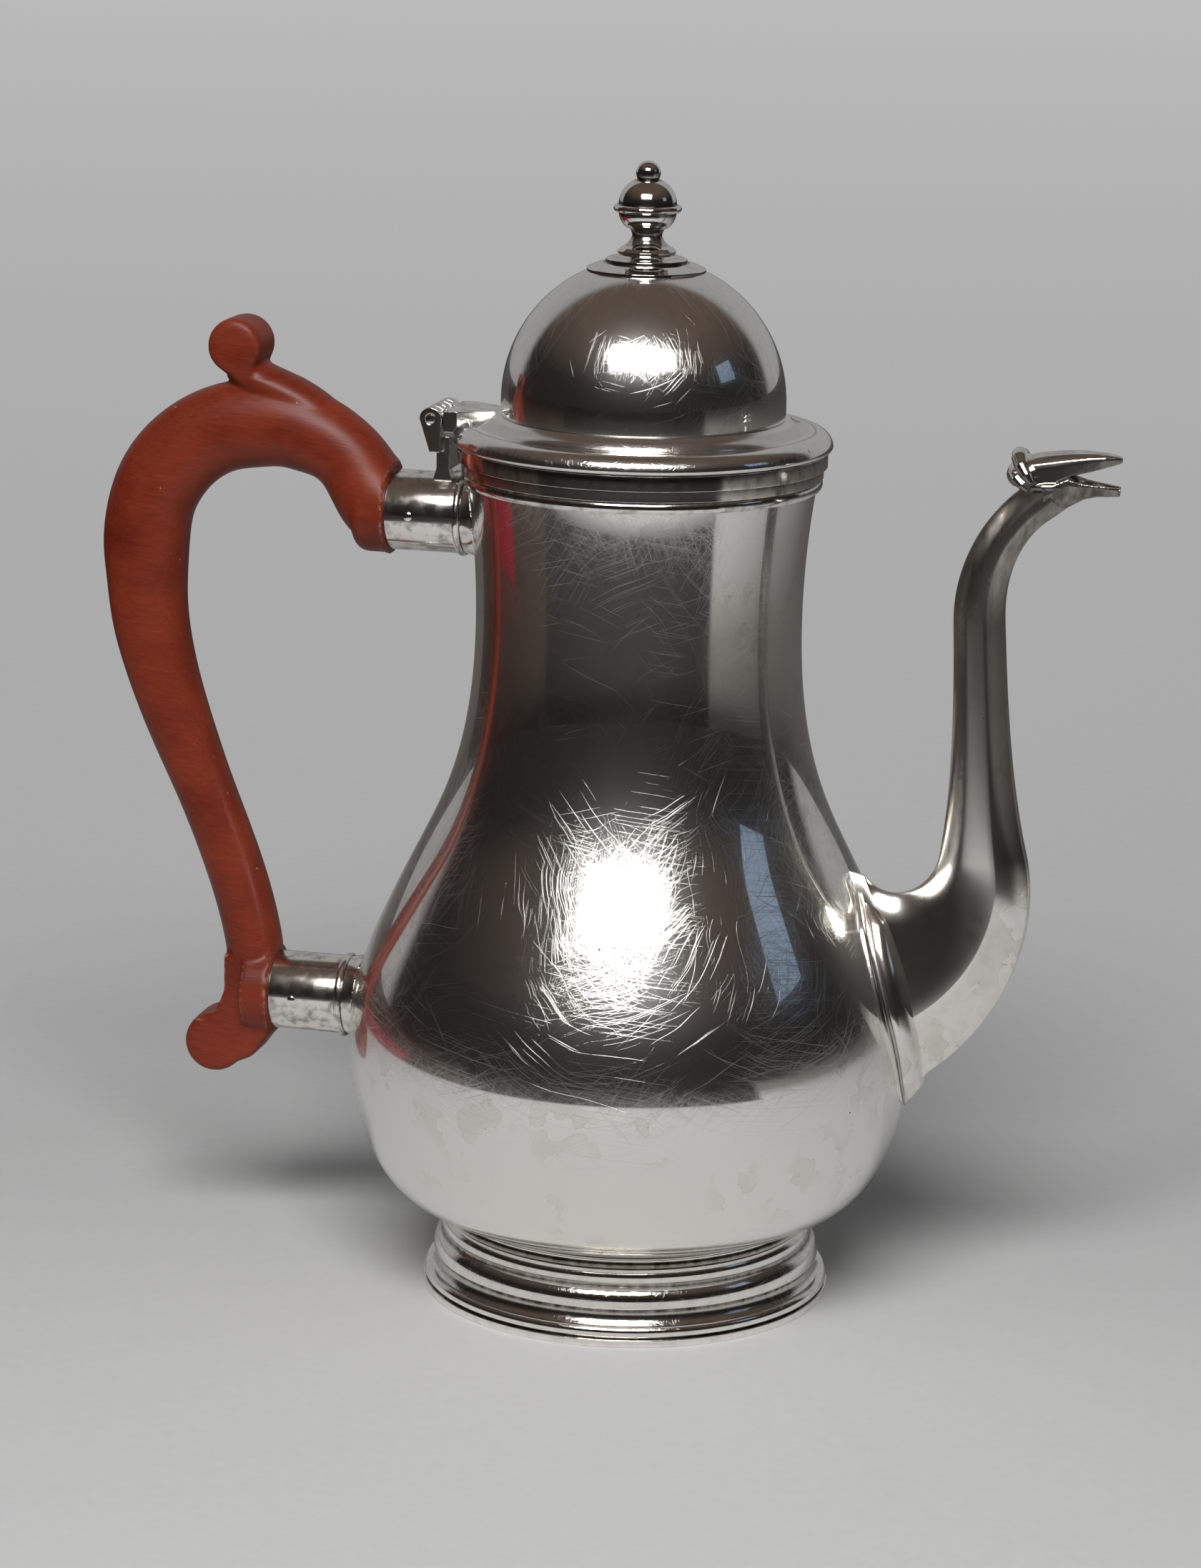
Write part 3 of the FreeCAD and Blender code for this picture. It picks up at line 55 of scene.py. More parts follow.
def arc_run(centre, bend, start, end, count=24):
    """Points (radius, height) along an arc of an outline, with its angles in degrees."""
    turns = [math.radians(start + (end - start) * step / count) for step in range(count + 1)]
    return [(centre[0] + bend * math.cos(turn), centre[1] + bend * math.sin(turn)) for turn in turns]


def arc_between(first, last, bend, side, count=10):
    """Points along the short arc from first to last, on its swelling or its hollow side."""
    chord = Vector(last) - Vector(first)
    inward = Vector((-chord.y, chord.x)).normalized() * side
    depth = math.sqrt(max(bend**2 - (chord.length / 2) ** 2, 0))
    centre = (Vector(first) + Vector(last)) / 2 + inward * depth
    start = math.atan2(first[1] - centre.y, first[0] - centre.x)
    sweep = math.atan2(last[1] - centre.y, last[0] - centre.x) - start
    sweep = (sweep + math.pi) % (2 * math.pi) - math.pi
    return arc_run(centre, bend, math.degrees(start), math.degrees(start + sweep), count)


def eased(outline, worn, closed=True):
    """An outline with each of its corners worn to a small round."""
    line = []
    for index, corner in enumerate(outline):
        here = Vector(corner)
        arriving = here - Vector(outline[index - 1])
        leaving = Vector(outline[(index + 1) % len(outline)]) - here
        end = not closed and index in (0, len(outline) - 1)
        shorter = min(arriving.length, leaving.length)
        if end or shorter < TINY or arriving.angle(leaving) < WORN_TURN:
            line.append((here.x, here.y))
            continue
        back = min(worn * math.tan(arriving.angle(leaving) / 2), WORN_SHARE * shorter)
        begin = here - arriving.normalized() * back
        finish = here + leaving.normalized() * back
        for share in CORNER_SHARES:
            point = begin.lerp(here, share).lerp(here.lerp(finish, share), share)
            line.append((point.x, point.y))
    return line


def limited(value):
    """A value kept between 0 and 1."""
    return min(max(value, 0), 1)


def recesses(line, closed):
    """How deep each point of an outline lies in a hollow of its moulding, from 0 to 1."""
    depths = []
    count = len(line)
    for index in range(count):
        here = Vector(line[index])
        ends = []
        for way in (-1, 1):
            gone = 0
            near = here
            for step in range(1, count):
                place = index + way * step
                if not closed and not 0 <= place < count:
                    break
                far = Vector(line[place % count])
                gone += (far - near).length
                near = far
                if gone > RECESS_REACH:
                    break
            ends.append(here + (near - here).normalized() * min(RECESS_REACH, (near - here).length))
        chord = ends[1] - ends[0]
        sink = chord.cross(here - ends[0]) / max(chord.length, TINY)
        depths.append(limited(sink / RECESS_DEPTH))
    return depths


def meshed(name, points, faces, hollow=None):
    """A piece from points in millimetres, with its mouldings' hollows noted for the tarnish."""
    mesh = bpy.data.meshes.new(name)
    mesh.from_pydata([Vector(point) * MM for point in points], [], faces)
    if hollow:
        note = mesh.attributes.new("recess", "FLOAT", "POINT")
        note.data.foreach_set("value", hollow)
    mesh.shade_smooth()
    mesh.set_sharp_from_angle(angle=SMOOTH_TURN)
    piece = bpy.data.objects.new(name, mesh)
    bpy.context.scene.collection.objects.link(piece)
    return piece


def turned(name, outline, worn=0.15, closed=True, steps=TURNING_STEPS):
    """A piece turned about the upright axis from its half outline (radius, height)."""
    line = eased(outline, worn, closed)
    points = []
    hollow = []
    rings = []
    for (radius, height), depth in zip(line, recesses(line, closed)):
        count = steps if radius > AXIS_RADIUS else 1
        rings.append(range(len(points), len(points) + count))
        for step in range(count):
            turn = 2 * math.pi * step / count
            points.append((radius * math.cos(turn), radius * math.sin(turn), height))
            hollow.append(depth)
    faces = []
    following = rings[1:] + rings[:1] if closed else rings[1:]
    for low, high in zip(rings, following):
        for step in range(steps):
            ahead = (step + 1) % steps
            corners = [low[step % len(low)], low[ahead % len(low)]]
            corners += [high[ahead % len(high)], high[step % len(high)]]
            face = list(dict.fromkeys(corners))
            if len(face) > 2:
                faces.append(face)
    return meshed(name, points, faces, hollow)


def plug(tree, socket, value):
    """Gives a socket a link or a value."""
    if isinstance(value, bpy.types.NodeSocket):
        tree.links.new(value, socket)
    else:
        socket.default_value = value


def add(tree, kind, settings=None, **values):
    """A shader node whose sockets take a value or a link each."""
    node = tree.nodes.new(kind)
    for key, setting in (settings or {}).items():
        setattr(node, key, setting)
    for key, value in values.items():
        plug(tree, node.inputs[key.replace("_", " ")], value)
    return node


def maths(tree, operation, first, *others):
    """The outcome of one kind of sum, taken over values or links in turn."""
    for other in others:
        node = tree.nodes.new("ShaderNodeMath")
        node.operation = operation
        plug(tree, node.inputs[0], first)
        plug(tree, node.inputs[1], other)
        first = node.outputs[0]
    return first


def ranged(tree, value, low, high):
    """A value stretched so that low becomes 0 and high becomes 1."""
    return add(tree, "ShaderNodeMapRange", Value=value, From_Min=low, From_Max=high).outputs[0]


def raised(tree, value, least, more):
    """The least, and more on top of it in proportion to a value."""
    return maths(tree, "ADD", least, maths(tree, "MULTIPLY", value, more))


def tinted(tree, share, first, second):
    """A colour that runs from first to second as a share runs from 0 to 1."""
    return add(tree, "ShaderNodeMixRGB", Fac=share, Color1=first, Color2=second).outputs[0]


def grain(tree, place, cell, turn=(0, 0, 0), detail=0.0):
    """Noise whose cells have one size in metres, or one along each of three turned axes."""
    size = cell if isinstance(cell, tuple) else (cell, cell, cell)
    settings = {"vector_type": "TEXTURE"}
    spot = add(tree, "ShaderNodeMapping", settings, Vector=place, Rotation=turn, Scale=size)
    noise = add(tree, "ShaderNodeTexNoise", Vector=spot.outputs[0], Scale=1.0, Detail=detail)
    return noise.outputs[0]


def group(name, inputs, outputs):
    """An empty shader node group with its sockets, its way in and its way out."""
    tree = bpy.data.node_groups.new(name, "ShaderNodeTree")
    for label in inputs:
        tree.interface.new_socket(name=label, in_out="INPUT", socket_type="NodeSocketFloat")
    for label, kind in outputs:
        tree.interface.new_socket(name=label, in_out="OUTPUT", socket_type=kind)
    return tree, tree.nodes.new("NodeGroupInput"), tree.nodes.new("NodeGroupOutput")


SILVER_COLOUR = (0.93, 0.905, 0.86, 1)
TARNISH_COLOUR = (0.06, 0.036, 0.02, 1)
MARK_COLOUR = (0.5, 0.45, 0.38, 1)
# Scratches: width and length of their cells in metres, how many show, and which ways they run
SCRATCH_RADIUS = 0.05
SCRATCH_TURNS = (0.2, 0.7, 1.2, 1.7, 2.2, 2.8)
SWAY_CELL, SWAY = 0.02, 0.012
FINE_CELL, FINE_RANGE = (0.00005, 0.03, 1.0), (0.72, 0.95)
DEEP_CELL, DEEP_RANGE, DEEP_TURN = (0.00009, 0.035, 1.0), (0.8, 0.9), 0.2
GROOVE_DEPTH = 0.00002
SCRATCH_HAZE = 0.15
# Where they are deeper: cells or heights in metres, then the least depth and what is added to it
WORKED_CELL, WORKED_RANGE, WORKED_SHARES = 0.018, (0.3, 0.7), (0.9, 0.6)
HANDLED_HEIGHTS, HANDLED_SHARES = (0.15, 0.11), (0.4, 0.6)
# Waves left by the hammer, and the halo of scratches that are too fine to see
WAVE_CELL, WAVE_HEIGHT = 0.014, 0.000004
HALO_IOR, HALO_ROUGHNESS = 2.5, 0.3
# Brown film, dirt in the hollows, specks and water marks: cells in metres and what shows of each
FILM_CELL, FILM_RANGE = 0.0022, (0.46, 0.66)
STREAK_CELL, STREAK_RANGE, STREAK_SHARES = (0.0018, 0.0018, 0.014), (0.35, 0.65), (0.7, 0.3)
SPECK_CELL, SPECK_RANGE = 0.001, (0.9, 0.93)
DIRT_HAZE = 0.22
POOL_CELL, POOL_LEVEL, POOL_EDGE, POOL_FILL = 0.007, 0.53, 0.01, 0.4
SHORE_RANGE = (0.002, 0.012)
STRETCH_CELL, STRETCH_RANGE = 0.016, (0.5, 0.62)
silver_wear, given, made = group(
    "silver_wear",
    ("Haze", "Scratches", "Film", "Marks"),
    (
        ("Colour", "NodeSocketColor"),
        ("Roughness", "NodeSocketFloat"),
        ("Waves", "NodeSocketFloat"),
        ("Grooves", "NodeSocketFloat"),
    ),
)
tree = silver_wear
spot = tree.nodes.new("ShaderNodeTexCoord").outputs["Object"]
apart = add(tree, "ShaderNodeSeparateXYZ", Vector=spot)
back = maths(tree, "MULTIPLY", apart.outputs["X"], -1.0)
angle = maths(tree, "ARCTAN2", apart.outputs["Y"], back)
around = maths(tree, "MULTIPLY", angle, SCRATCH_RADIUS)
sway = maths(tree, "MULTIPLY", grain(tree, spot, SWAY_CELL, detail=1.0), SWAY)
around = maths(tree, "ADD", around, sway)
skin = add(tree, "ShaderNodeCombineXYZ", X=around, Y=apart.outputs["Z"]).outputs[0]
scratches = 0.0
for turn in SCRATCH_TURNS:
    fine = ranged(tree, grain(tree, skin, FINE_CELL, (0, 0, turn)), *FINE_RANGE)
    deep = ranged(tree, grain(tree, skin, DEEP_CELL, (0, 0, turn + DEEP_TURN)), *DEEP_RANGE)
    scratches = maths(tree, "MAXIMUM", scratches, fine, deep)
worked = ranged(tree, grain(tree, spot, WORKED_CELL, detail=2.0), *WORKED_RANGE)
handled = ranged(tree, apart.outputs["Z"], *HANDLED_HEIGHTS)
worked = raised(tree, worked, *WORKED_SHARES)
handled = raised(tree, handled, *HANDLED_SHARES)
scratches = maths(tree, "MULTIPLY", scratches, worked, handled, given.outputs["Scratches"])
tree.links.new(scratches, made.inputs["Grooves"])
tree.links.new(grain(tree, spot, WAVE_CELL, detail=1.0), made.inputs["Waves"])
film = ranged(tree, grain(tree, spot, FILM_CELL, detail=6.0), *FILM_RANGE)
film = maths(tree, "MULTIPLY", film, given.outputs["Film"])
recess = add(tree, "ShaderNodeAttribute", {"attribute_name": "recess"}).outputs["Fac"]
streaks = ranged(tree, grain(tree, spot, STREAK_CELL, detail=4.0), *STREAK_RANGE)
dirt = maths(tree, "MULTIPLY", recess, raised(tree, streaks, *STREAK_SHARES))
specks = ranged(tree, grain(tree, spot, SPECK_CELL), *SPECK_RANGE)
dark = maths(tree, "MAXIMUM", film, dirt, specks)
pools = grain(tree, spot, POOL_CELL, detail=4.0)
shore = maths(tree, "ABSOLUTE", maths(tree, "SUBTRACT", pools, POOL_LEVEL), 0.0)
shore = maths(tree, "SUBTRACT", 1.0, ranged(tree, shore, *SHORE_RANGE))
dried = ranged(tree, pools, POOL_LEVEL, POOL_LEVEL + POOL_EDGE)
marks = maths(tree, "MAXIMUM", shore, maths(tree, "MULTIPLY", dried, POOL_FILL))
stretch = ranged(tree, grain(tree, spot, STRETCH_CELL, detail=2.0), *STRETCH_RANGE)
marks = maths(tree, "MULTIPLY", marks, stretch, given.outputs["Marks"])
clean = tinted(tree, marks, SILVER_COLOUR, MARK_COLOUR)
tree.links.new(tinted(tree, dark, clean, TARNISH_COLOUR), made.inputs["Colour"])
haze = raised(tree, scratches, given.outputs["Haze"], SCRATCH_HAZE)
haze = raised(tree, dark, haze, DIRT_HAZE)
tree.links.new(haze, made.inputs["Roughness"])


def new_material(name):
    """A material, with its node tree and its shader."""
    material = bpy.data.materials.new(name)
    material.use_nodes = True
    return material, material.node_tree, material.node_tree.nodes["Principled BSDF"]


def silver(name, haze=0.035, scratches=0.0, film=0.0, marks=0.0, halo=0.0):
    """Polished silver with its haze, scratches, brown film, water marks and halo."""
    material, tree, metal = new_material(name)
    metal.inputs["Metallic"].default_value = 1.0
    metal.inputs["Coat Weight"].default_value = halo
    metal.inputs["Coat IOR"].default_value = HALO_IOR
    metal.inputs["Coat Roughness"].default_value = HALO_ROUGHNESS
    wear = add(tree, "ShaderNodeGroup", {"node_tree": silver_wear}, Haze=haze, Film=film, Marks=marks)
    wear.inputs["Scratches"].default_value = scratches
    waves = add(tree, "ShaderNodeBump", Distance=WAVE_HEIGHT, Height=wear.outputs["Waves"])
    grooves = add(tree, "ShaderNodeBump", {"invert": True}, Distance=GROOVE_DEPTH)
    tree.links.new(wear.outputs["Grooves"], grooves.inputs["Height"])
    tree.links.new(waves.outputs[0], grooves.inputs["Normal"])
    tree.links.new(wear.outputs["Colour"], metal.inputs["Base Color"])
    tree.links.new(wear.outputs["Roughness"], metal.inputs["Roughness"])
    tree.links.new(grooves.outputs[0], metal.inputs["Normal"])
    return material


def settled(piece):
    """Takes a piece's modifiers into its mesh."""
    shaped = piece.evaluated_get(bpy.context.evaluated_depsgraph_get())
    mesh = bpy.data.meshes.new_from_object(shaped)
    piece.modifiers.clear()
    piece.data = mesh


def fitted(piece, body, node, material):
    """Gives a piece its material and puts it in the place of the frame's node."""
    piece.data.materials.clear()
    piece.data.materials.append(material)
    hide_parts(node)
    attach(piece, body)


def fair(stations, steps):
    """Points (radius, height) along the smooth line that a batten takes through its stations."""
    count = len(stations)
    places = [0.0]
    for before, after in zip(stations, stations[1:]):
        places.append(places[-1] + math.dist(before, after))
    spans = [after - before for before, after in zip(places, places[1:])]
    bends = []
    for values in zip(*stations):
        pull = [0.0] * count
        ease = [0.0] * count
        for index in range(1, count - 1):
            before, after = spans[index - 1], spans[index]
            pivot = 2 * (before + after) - before * ease[index - 1]
            ease[index] = after / pivot
            leaving = (values[index + 1] - values[index]) / after
            arriving = (values[index] - values[index - 1]) / before
            pull[index] = (6 * (leaving - arriving) - before * pull[index - 1]) / pivot
        for index in range(count - 2, 0, -1):
            pull[index] -= ease[index] * pull[index + 1]
        bends.append(pull)
    line = []
    for index, span in enumerate(spans):
        for step in range(steps):
            end = step / steps
            start = 1 - end
            point = []
            for values, pull in zip(zip(*stations), bends):
                lift = (start**3 - start) * pull[index] + (end**3 - end) * pull[index + 1]
                point.append(start * values[index] + end * values[index + 1] + lift * span**2 / 6)
            line.append(tuple(point))
    return line + [stations[-1]]


# Each station of the body's outside: radius and height
BODY_STATIONS = (
    (36.0, 18.4),
    (45.0, 20.3),
    (51.7, 24.2),
    (57.7, 33.0),
    (60.9, 44.0),
    (62.2, 57.0),
    (60.0, 71.0),
    (54.65, 84.8),
    (48.3, 98.0),
    (42.1, 111.0),
    (38.05, 124.0),
    (35.92, 138.0),
    (35.38, 152.0),
    (35.95, 166.0),
    (37.25, 178.0),
    (39.05, 188.9),
)
BODY_WALL = 1.1
HOLE_RADIUS, HOLES_ACROSS, HOLES_UP, HOLES_HEIGHT = 1.3, 3.6, 6.0, 72.0
HOLE_RANKS, HOLE_COLUMNS = (-2, -1, 0, 1, 2), (-1, 0, 1)
HOLE_STEPS = 24
DRILL_ENDS = (40.0, 70.0)
STATION_STEPS = 12
body_line = fair(BODY_STATIONS, STATION_STEPS)
inner_line = [(0, BODY_STATIONS[0][1] + BODY_WALL)]
for before, here, after in zip(body_line, body_line[1:], body_line[2:]):
    along = (Vector(after) - Vector(before)).normalized()
    inner_line.append((here[0] - along.y * BODY_WALL, here[1] + along.x * BODY_WALL))
inner_line.append((BODY_STATIONS[-1][0] - BODY_WALL, BODY_STATIONS[-1][1]))


def body_radius(height):
    """The body's outside radius at a height."""
    for before, after in zip(body_line, body_line[1:]):
        if after[1] >= height:
            break
    return before[0] + (after[0] - before[0]) * (height - before[1]) / (after[1] - before[1])


body_silver = silver("body silver", scratches=0.4, marks=0.45, halo=0.65)
body_shell = turned("body", [(0, BODY_STATIONS[0][1])] + body_line + inner_line[::-1])
points = []
faces = []
for rank in HOLE_RANKS:
    for column in HOLE_COLUMNS:
        first = len(points)
        for reach in DRILL_ENDS:
            for spoke in range(HOLE_STEPS):
                turn = 2 * math.pi * spoke / HOLE_STEPS
                across = column * HOLES_ACROSS + HOLE_RADIUS * math.cos(turn)
                height = HOLES_HEIGHT + rank * HOLES_UP + HOLE_RADIUS * math.sin(turn)
                points.append((reach, across, height))
        near = list(range(first, first + HOLE_STEPS))
        far = list(range(first + HOLE_STEPS, first + 2 * HOLE_STEPS))
        faces += [near[::-1], far]
        faces += [(near[step - 1], near[step], far[step], far[step - 1]) for step in range(HOLE_STEPS)]
drills = meshed("drills", points, faces)
drilling = body_shell.modifiers.new("drilling", "BOOLEAN")
drilling.object = drills
drilling.solver = "EXACT"
settled(body_shell)
bpy.data.objects.remove(drills)
fitted(body_shell, "pot", "body_shell", body_silver)

# Foot: a cast ring of stepped mouldings that carries the body, on a flat wire that meets the table.
# Both are silver, soldered to one another and to the base; old polish has dried dark in the hollows.
# Each outline is given by radius and height.

moulding_silver = silver("moulding silver", haze=0.05, scratches=0.2, film=0.12)
foot_wire = turned(
    "foot_wire",
    [(41.6, 0), (45.19, 0), (45.19, 1.6)]
    + arc_between((44.3, 1.6), (44.3, 4.3), 1.62, SWELL)
    + [(41.6, 4.3)],
)
fitted(foot_wire, "pot", "foot_wire", moulding_silver)
foot_ring = turned(
    "foot_ring_moulding",
    [(41.6, 4.3)]
    + arc_between((43.4, 4.3), (42.3, 7.8), 3.5, HOLLOW)
    + [(42.9, 7.8)]
    + arc_between((42.9, 8.4), (41.2, 12.3), 4.5, SWELL)
    + [(41.2, 13.1)]
    + arc_between((41.1, 13.1), (40.2, 16.0), 2.4, SWELL)
    + arc_between((40.2, 16.0), (39.3, 17.6), 1.6, HOLLOW)
    + arc_between((40.2, 17.6), (40.2, 18.35), 0.45, SWELL)
    + [(35.2, 18.35), (35.2, 16.75), (38.6, 14.4)],
    worn=0.12,
)
fitted(foot_ring, "pot", "foot_ring", moulding_silver)

# Rim: a stepped wire drawn from silver and bent round the outside of the mouth, with a bead below it.
# It is soldered to the body's edge, stiffens it and carries the lid; a brown film has settled on it.

rim = turned(
    "rim_wire",
    arc_between((38.25, 180.6), (38.25, 183.2), 1.56, SWELL)
    + [(39.1, 183.2), (39.1, 185.6), (39.94, 185.6), (39.94, 188.9), (39.1, 188.9)]
    + [(39.03, 188.9), (38.2, 184.9), (37.66, 180.9)],
    worn=0.12,
)
rim_silver = silver("rim silver", haze=0.08, film=0.45)
fitted(rim, "pot", "rim_moulding", rim_silver)

# Handle sockets: silver tubes that take the handle's tenons, each soldered over a flared collar.
# A bead wire hides the joint, and a silver pin is driven through each tube and its tenon.

SOCKET_HEIGHTS = {"upper": 171.8, "lower": 60.4}
SOCKET_MOUTHS = {"upper": 55.5, "lower": 81.6}
SOCKET_RADIUS = 8.8
SOCKET_LENGTH = 17.0
SOCKET_WALL = 0.9
BEAD_INSIDE, BEAD_OUTSIDE, BEAD_WIDTH, BEAD_BEND = 8.85, 9.0, 1.5, 0.9
PIN_INSET = 5.6
PIN_RADIUS, PIN_PROUD, PIN_RISE, PIN_BEND = 1.2, 0.25, 0.45, 1.9
PIN_STEPS = 48
RUBBING = 0.5
socket_silver = silver("socket silver", haze=0.13, film=0.55)
pin_silver = silver("pin silver", haze=0.1, film=0.2)


def lengthwise(height):
    """The move that lays a turned piece down towards the handle at a height."""
    return Matrix.Translation((0, 0, height * MM)) @ Matrix.Rotation(math.radians(-90), 4, "Y")


def worn_round(piece, passes, numbers=None):
    """Wears a piece's edges round, all over or at the numbered points only."""
    rubbing = piece.modifiers.new("rubbing", "SMOOTH")
    rubbing.factor = RUBBING
    rubbing.iterations = passes
    if numbers:
        piece.vertex_groups.new(name="worn").add(numbers, 1.0, "REPLACE")
        rubbing.vertex_group = "worn"
    settled(piece)
    piece.vertex_groups.clear()
    piece.data.shade_smooth()


def melted(piece, voxel, passes):
    """Makes a piece one even skin with its edges worn round."""
    blocks = piece.modifiers.new("blocks", "REMESH")
    blocks.mode = "VOXEL"
    blocks.voxel_size = voxel * MM
    worn_round(piece, passes)
    return piece


def softened(name, node, voxel, passes):
    """A copy of one of the frame's pieces with its edges worn round."""
    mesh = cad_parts[node].data.copy()
    mesh.name = name
    piece = bpy.data.objects.new(name, mesh)
    bpy.context.scene.collection.objects.link(piece)
    weld = piece.modifiers.new("weld", "WELD")
    weld.merge_threshold = TINY
    return melted(piece, voxel, passes)


for end, height in SOCKET_HEIGHTS.items():
    mouth = SOCKET_MOUTHS[end]
    back = mouth - SOCKET_LENGTH
    bore = SOCKET_RADIUS - SOCKET_WALL
    tube_line = [(bore, back), (SOCKET_RADIUS, back), (SOCKET_RADIUS, mouth), (bore, mouth)]
    tube = turned(end + "_tube", tube_line, worn=0.3)
    tube.data.transform(lengthwise(height))
    fitted(tube, "pot", end + "_socket", socket_silver)
    front = back + BEAD_WIDTH
    bead = arc_between((BEAD_OUTSIDE, back), (BEAD_OUTSIDE, front), BEAD_BEND, SWELL)
    ring = turned(end + "_bead", [(BEAD_INSIDE, back)] + bead + [(BEAD_INSIDE, front)], worn=0.05)
    ring.data.transform(lengthwise(height))
    fitted(ring, "pot", end + "_socket_ring", socket_silver)
    collar = softened(end + "_collar", end + "_socket_collar", voxel=0.2, passes=2)
    fitted(collar, "pot", end + "_socket_collar", socket_silver)
    half = SOCKET_RADIUS + PIN_PROUD
    cap = arc_between((PIN_RADIUS, half - PIN_RISE), (0, half), PIN_BEND, SWELL, 6)
    pin_line = [(0, -half)] + [(radius, -length) for radius, length in cap[-2::-1]] + cap
    pin = turned(end + "_pin", pin_line, worn=0.02, closed=False, steps=PIN_STEPS)
    along = Matrix.Translation(((PIN_INSET - mouth) * MM, 0, height * MM))
    pin.data.transform(along @ Matrix.Rotation(math.radians(90), 4, "X"))
    fitted(pin, "pot", end + "_handle_pin", pin_silver)

# Handle: one piece of close-grained wood, sawn, carved to an oval grip with two scrolls and stained.
# Its tenons go into the sockets. Hands have rubbed the finish pale along the ridges.

WOOD_DEEP = (0.11, 0.012, 0.0045, 1)
WOOD_WARM = (0.25, 0.036, 0.013, 1)
RUB_COLOUR = (0.5, 0.34, 0.28, 1)
# The grain: sizes of its cells in metres, and what shows of each
LINE_CELL, LINE_TURN, LINE_SHARE = (0.012, 0.0005, 0.0005), (0.05, 0.12, 0.1), 0.4
CLOUD_CELL, CLOUD_SHARE = (0.02, 0.012, 0.012), 0.6
TONE_RANGE = (0.3, 0.7)
PATCH_CELL, PATCH_RANGE = (0.004, 0.0012, 0.0012), (0.45, 0.62)
CHIP_CELL, CHIP_RANGE, CHIP_SHARE = 0.0009, (0.88, 0.9), 0.7
DULLNESS = (0.33, 0.16)
GRAIN_DEPTH = 0.00006
TAIL_TOP, THUMB_FOOT = 0.053, 0.1995
SCROLL_PASSES = 45
RIDGE_START, RIDGE_SPAN = 0.06, 0.1
wood_grain, given, made = group(
    "wood_grain",
    ("Rubbing",),
    (("Colour", "NodeSocketColor"), ("Roughness", "NodeSocketFloat"), ("Height", "NodeSocketFloat")),
)
tree = wood_grain
spot = tree.nodes.new("ShaderNodeTexCoord").outputs["Object"]
lines = grain(tree, spot, LINE_CELL, LINE_TURN, detail=4.0)
clouds = grain(tree, spot, CLOUD_CELL, detail=3.0)
tone = raised(tree, lines, maths(tree, "MULTIPLY", clouds, CLOUD_SHARE), LINE_SHARE)
stain = tinted(tree, ranged(tree, tone, *TONE_RANGE), WOOD_DEEP, WOOD_WARM)
ridge = add(tree, "ShaderNodeAttribute", {"attribute_name": "ridge"}).outputs["Fac"]
patchy = ranged(tree, grain(tree, spot, PATCH_CELL, detail=5.0), *PATCH_RANGE)
rubbed = maths(tree, "MULTIPLY", ridge, patchy, given.outputs["Rubbing"])
chips = ranged(tree, grain(tree, spot, CHIP_CELL), *CHIP_RANGE)
pale = maths(tree, "MAXIMUM", rubbed, maths(tree, "MULTIPLY", chips, CHIP_SHARE))
tree.links.new(tinted(tree, pale, stain, RUB_COLOUR), made.inputs["Colour"])
tree.links.new(raised(tree, clouds, *DULLNESS), made.inputs["Roughness"])
tree.links.new(lines, made.inputs["Height"])

handle = softened("handle_wood", "handle", voxel=0.45, passes=12)
scrolls = [point.index for point in handle.data.vertices if not TAIL_TOP < point.co.z < THUMB_FOOT]
worn_round(handle, SCROLL_PASSES, scrolls)
mesh = handle.data
bend = [0.0] * len(mesh.vertices)
count = [0] * len(mesh.vertices)
for edge in mesh.edges:
    one, other = edge.vertices
    step = mesh.vertices[other].co - mesh.vertices[one].co
    bend[one] -= step.normalized().dot(mesh.vertices[one].normal)
    bend[other] += step.normalized().dot(mesh.vertices[other].normal)
    count[one] += 1
    count[other] += 1
ridges = []
for total, number in zip(bend, count):
    ridges.append(limited((total / max(number, 1) - RIDGE_START) / RIDGE_SPAN))
mesh.attributes.new("ridge", "FLOAT", "POINT").data.foreach_set("value", ridges)
handle_wood, tree, wood = new_material("stained wood")
wood.inputs["Specular IOR Level"].default_value = 0.3
look = add(tree, "ShaderNodeGroup", {"node_tree": wood_grain}, Rubbing=0.6)
bump = add(tree, "ShaderNodeBump", Strength=0.5, Distance=GRAIN_DEPTH)
tree.links.new(look.outputs["Height"], bump.inputs["Height"])
tree.links.new(look.outputs["Colour"], wood.inputs["Base Color"])
tree.links.new(look.outputs["Roughness"], wood.inputs["Roughness"])
tree.links.new(bump.outputs[0], wood.inputs["Normal"])
fitted(handle, "pot", "handle", handle_wood)

# Spout: two hollow cast halves soldered along the middle plane, chased into panels with crisp edges.
# The root spreads where it meets the body, and the neck narrows up to the head.

SPOUT_START = (48.0, 72.0)
SPOUT_MOVES = ((12.2, 20, 20), (27.0, 20, 93), (52.0, 93, 93), (31.0, 93, 40), (5.0, 40, 40))
TAPER_LENGTH = 127.3
THROAT_START, THROAT_NARROWING = 98.0, 0.34
END_NARROWING = 0.1
BACK_NARROWING = 0.55
SPOUT_STEPS = 150
NECK_DEPTH, ROOT_DEPTH = 10.6, 62.6
NECK_WIDTH, ROOT_WIDTH = 10.2, 15.0
NECK_PANEL_SHARE, FRONT_PANEL_SHARE, BACK_PANEL_SHARE = 0.28, 0.44, 0.62
EDGE_SHARE, BACK_EDGE_SHARE = 0.36, 0.08
PANEL_HOLLOW = 0.22
PANEL_STEPS = 6
HOLLOW_SHARE = 0.05
SEAM, SEAM_END = 0.06, 0.01
CORNER_WEAR, WEAR_SHARE = 0.2, 0.2
ROOT_SEARCH, SEARCH_STEPS = 60.0, 24
TARNISH_FOOT, TARNISH_RISE, TARNISH_MOST = 100.0, 75.0, 0.8


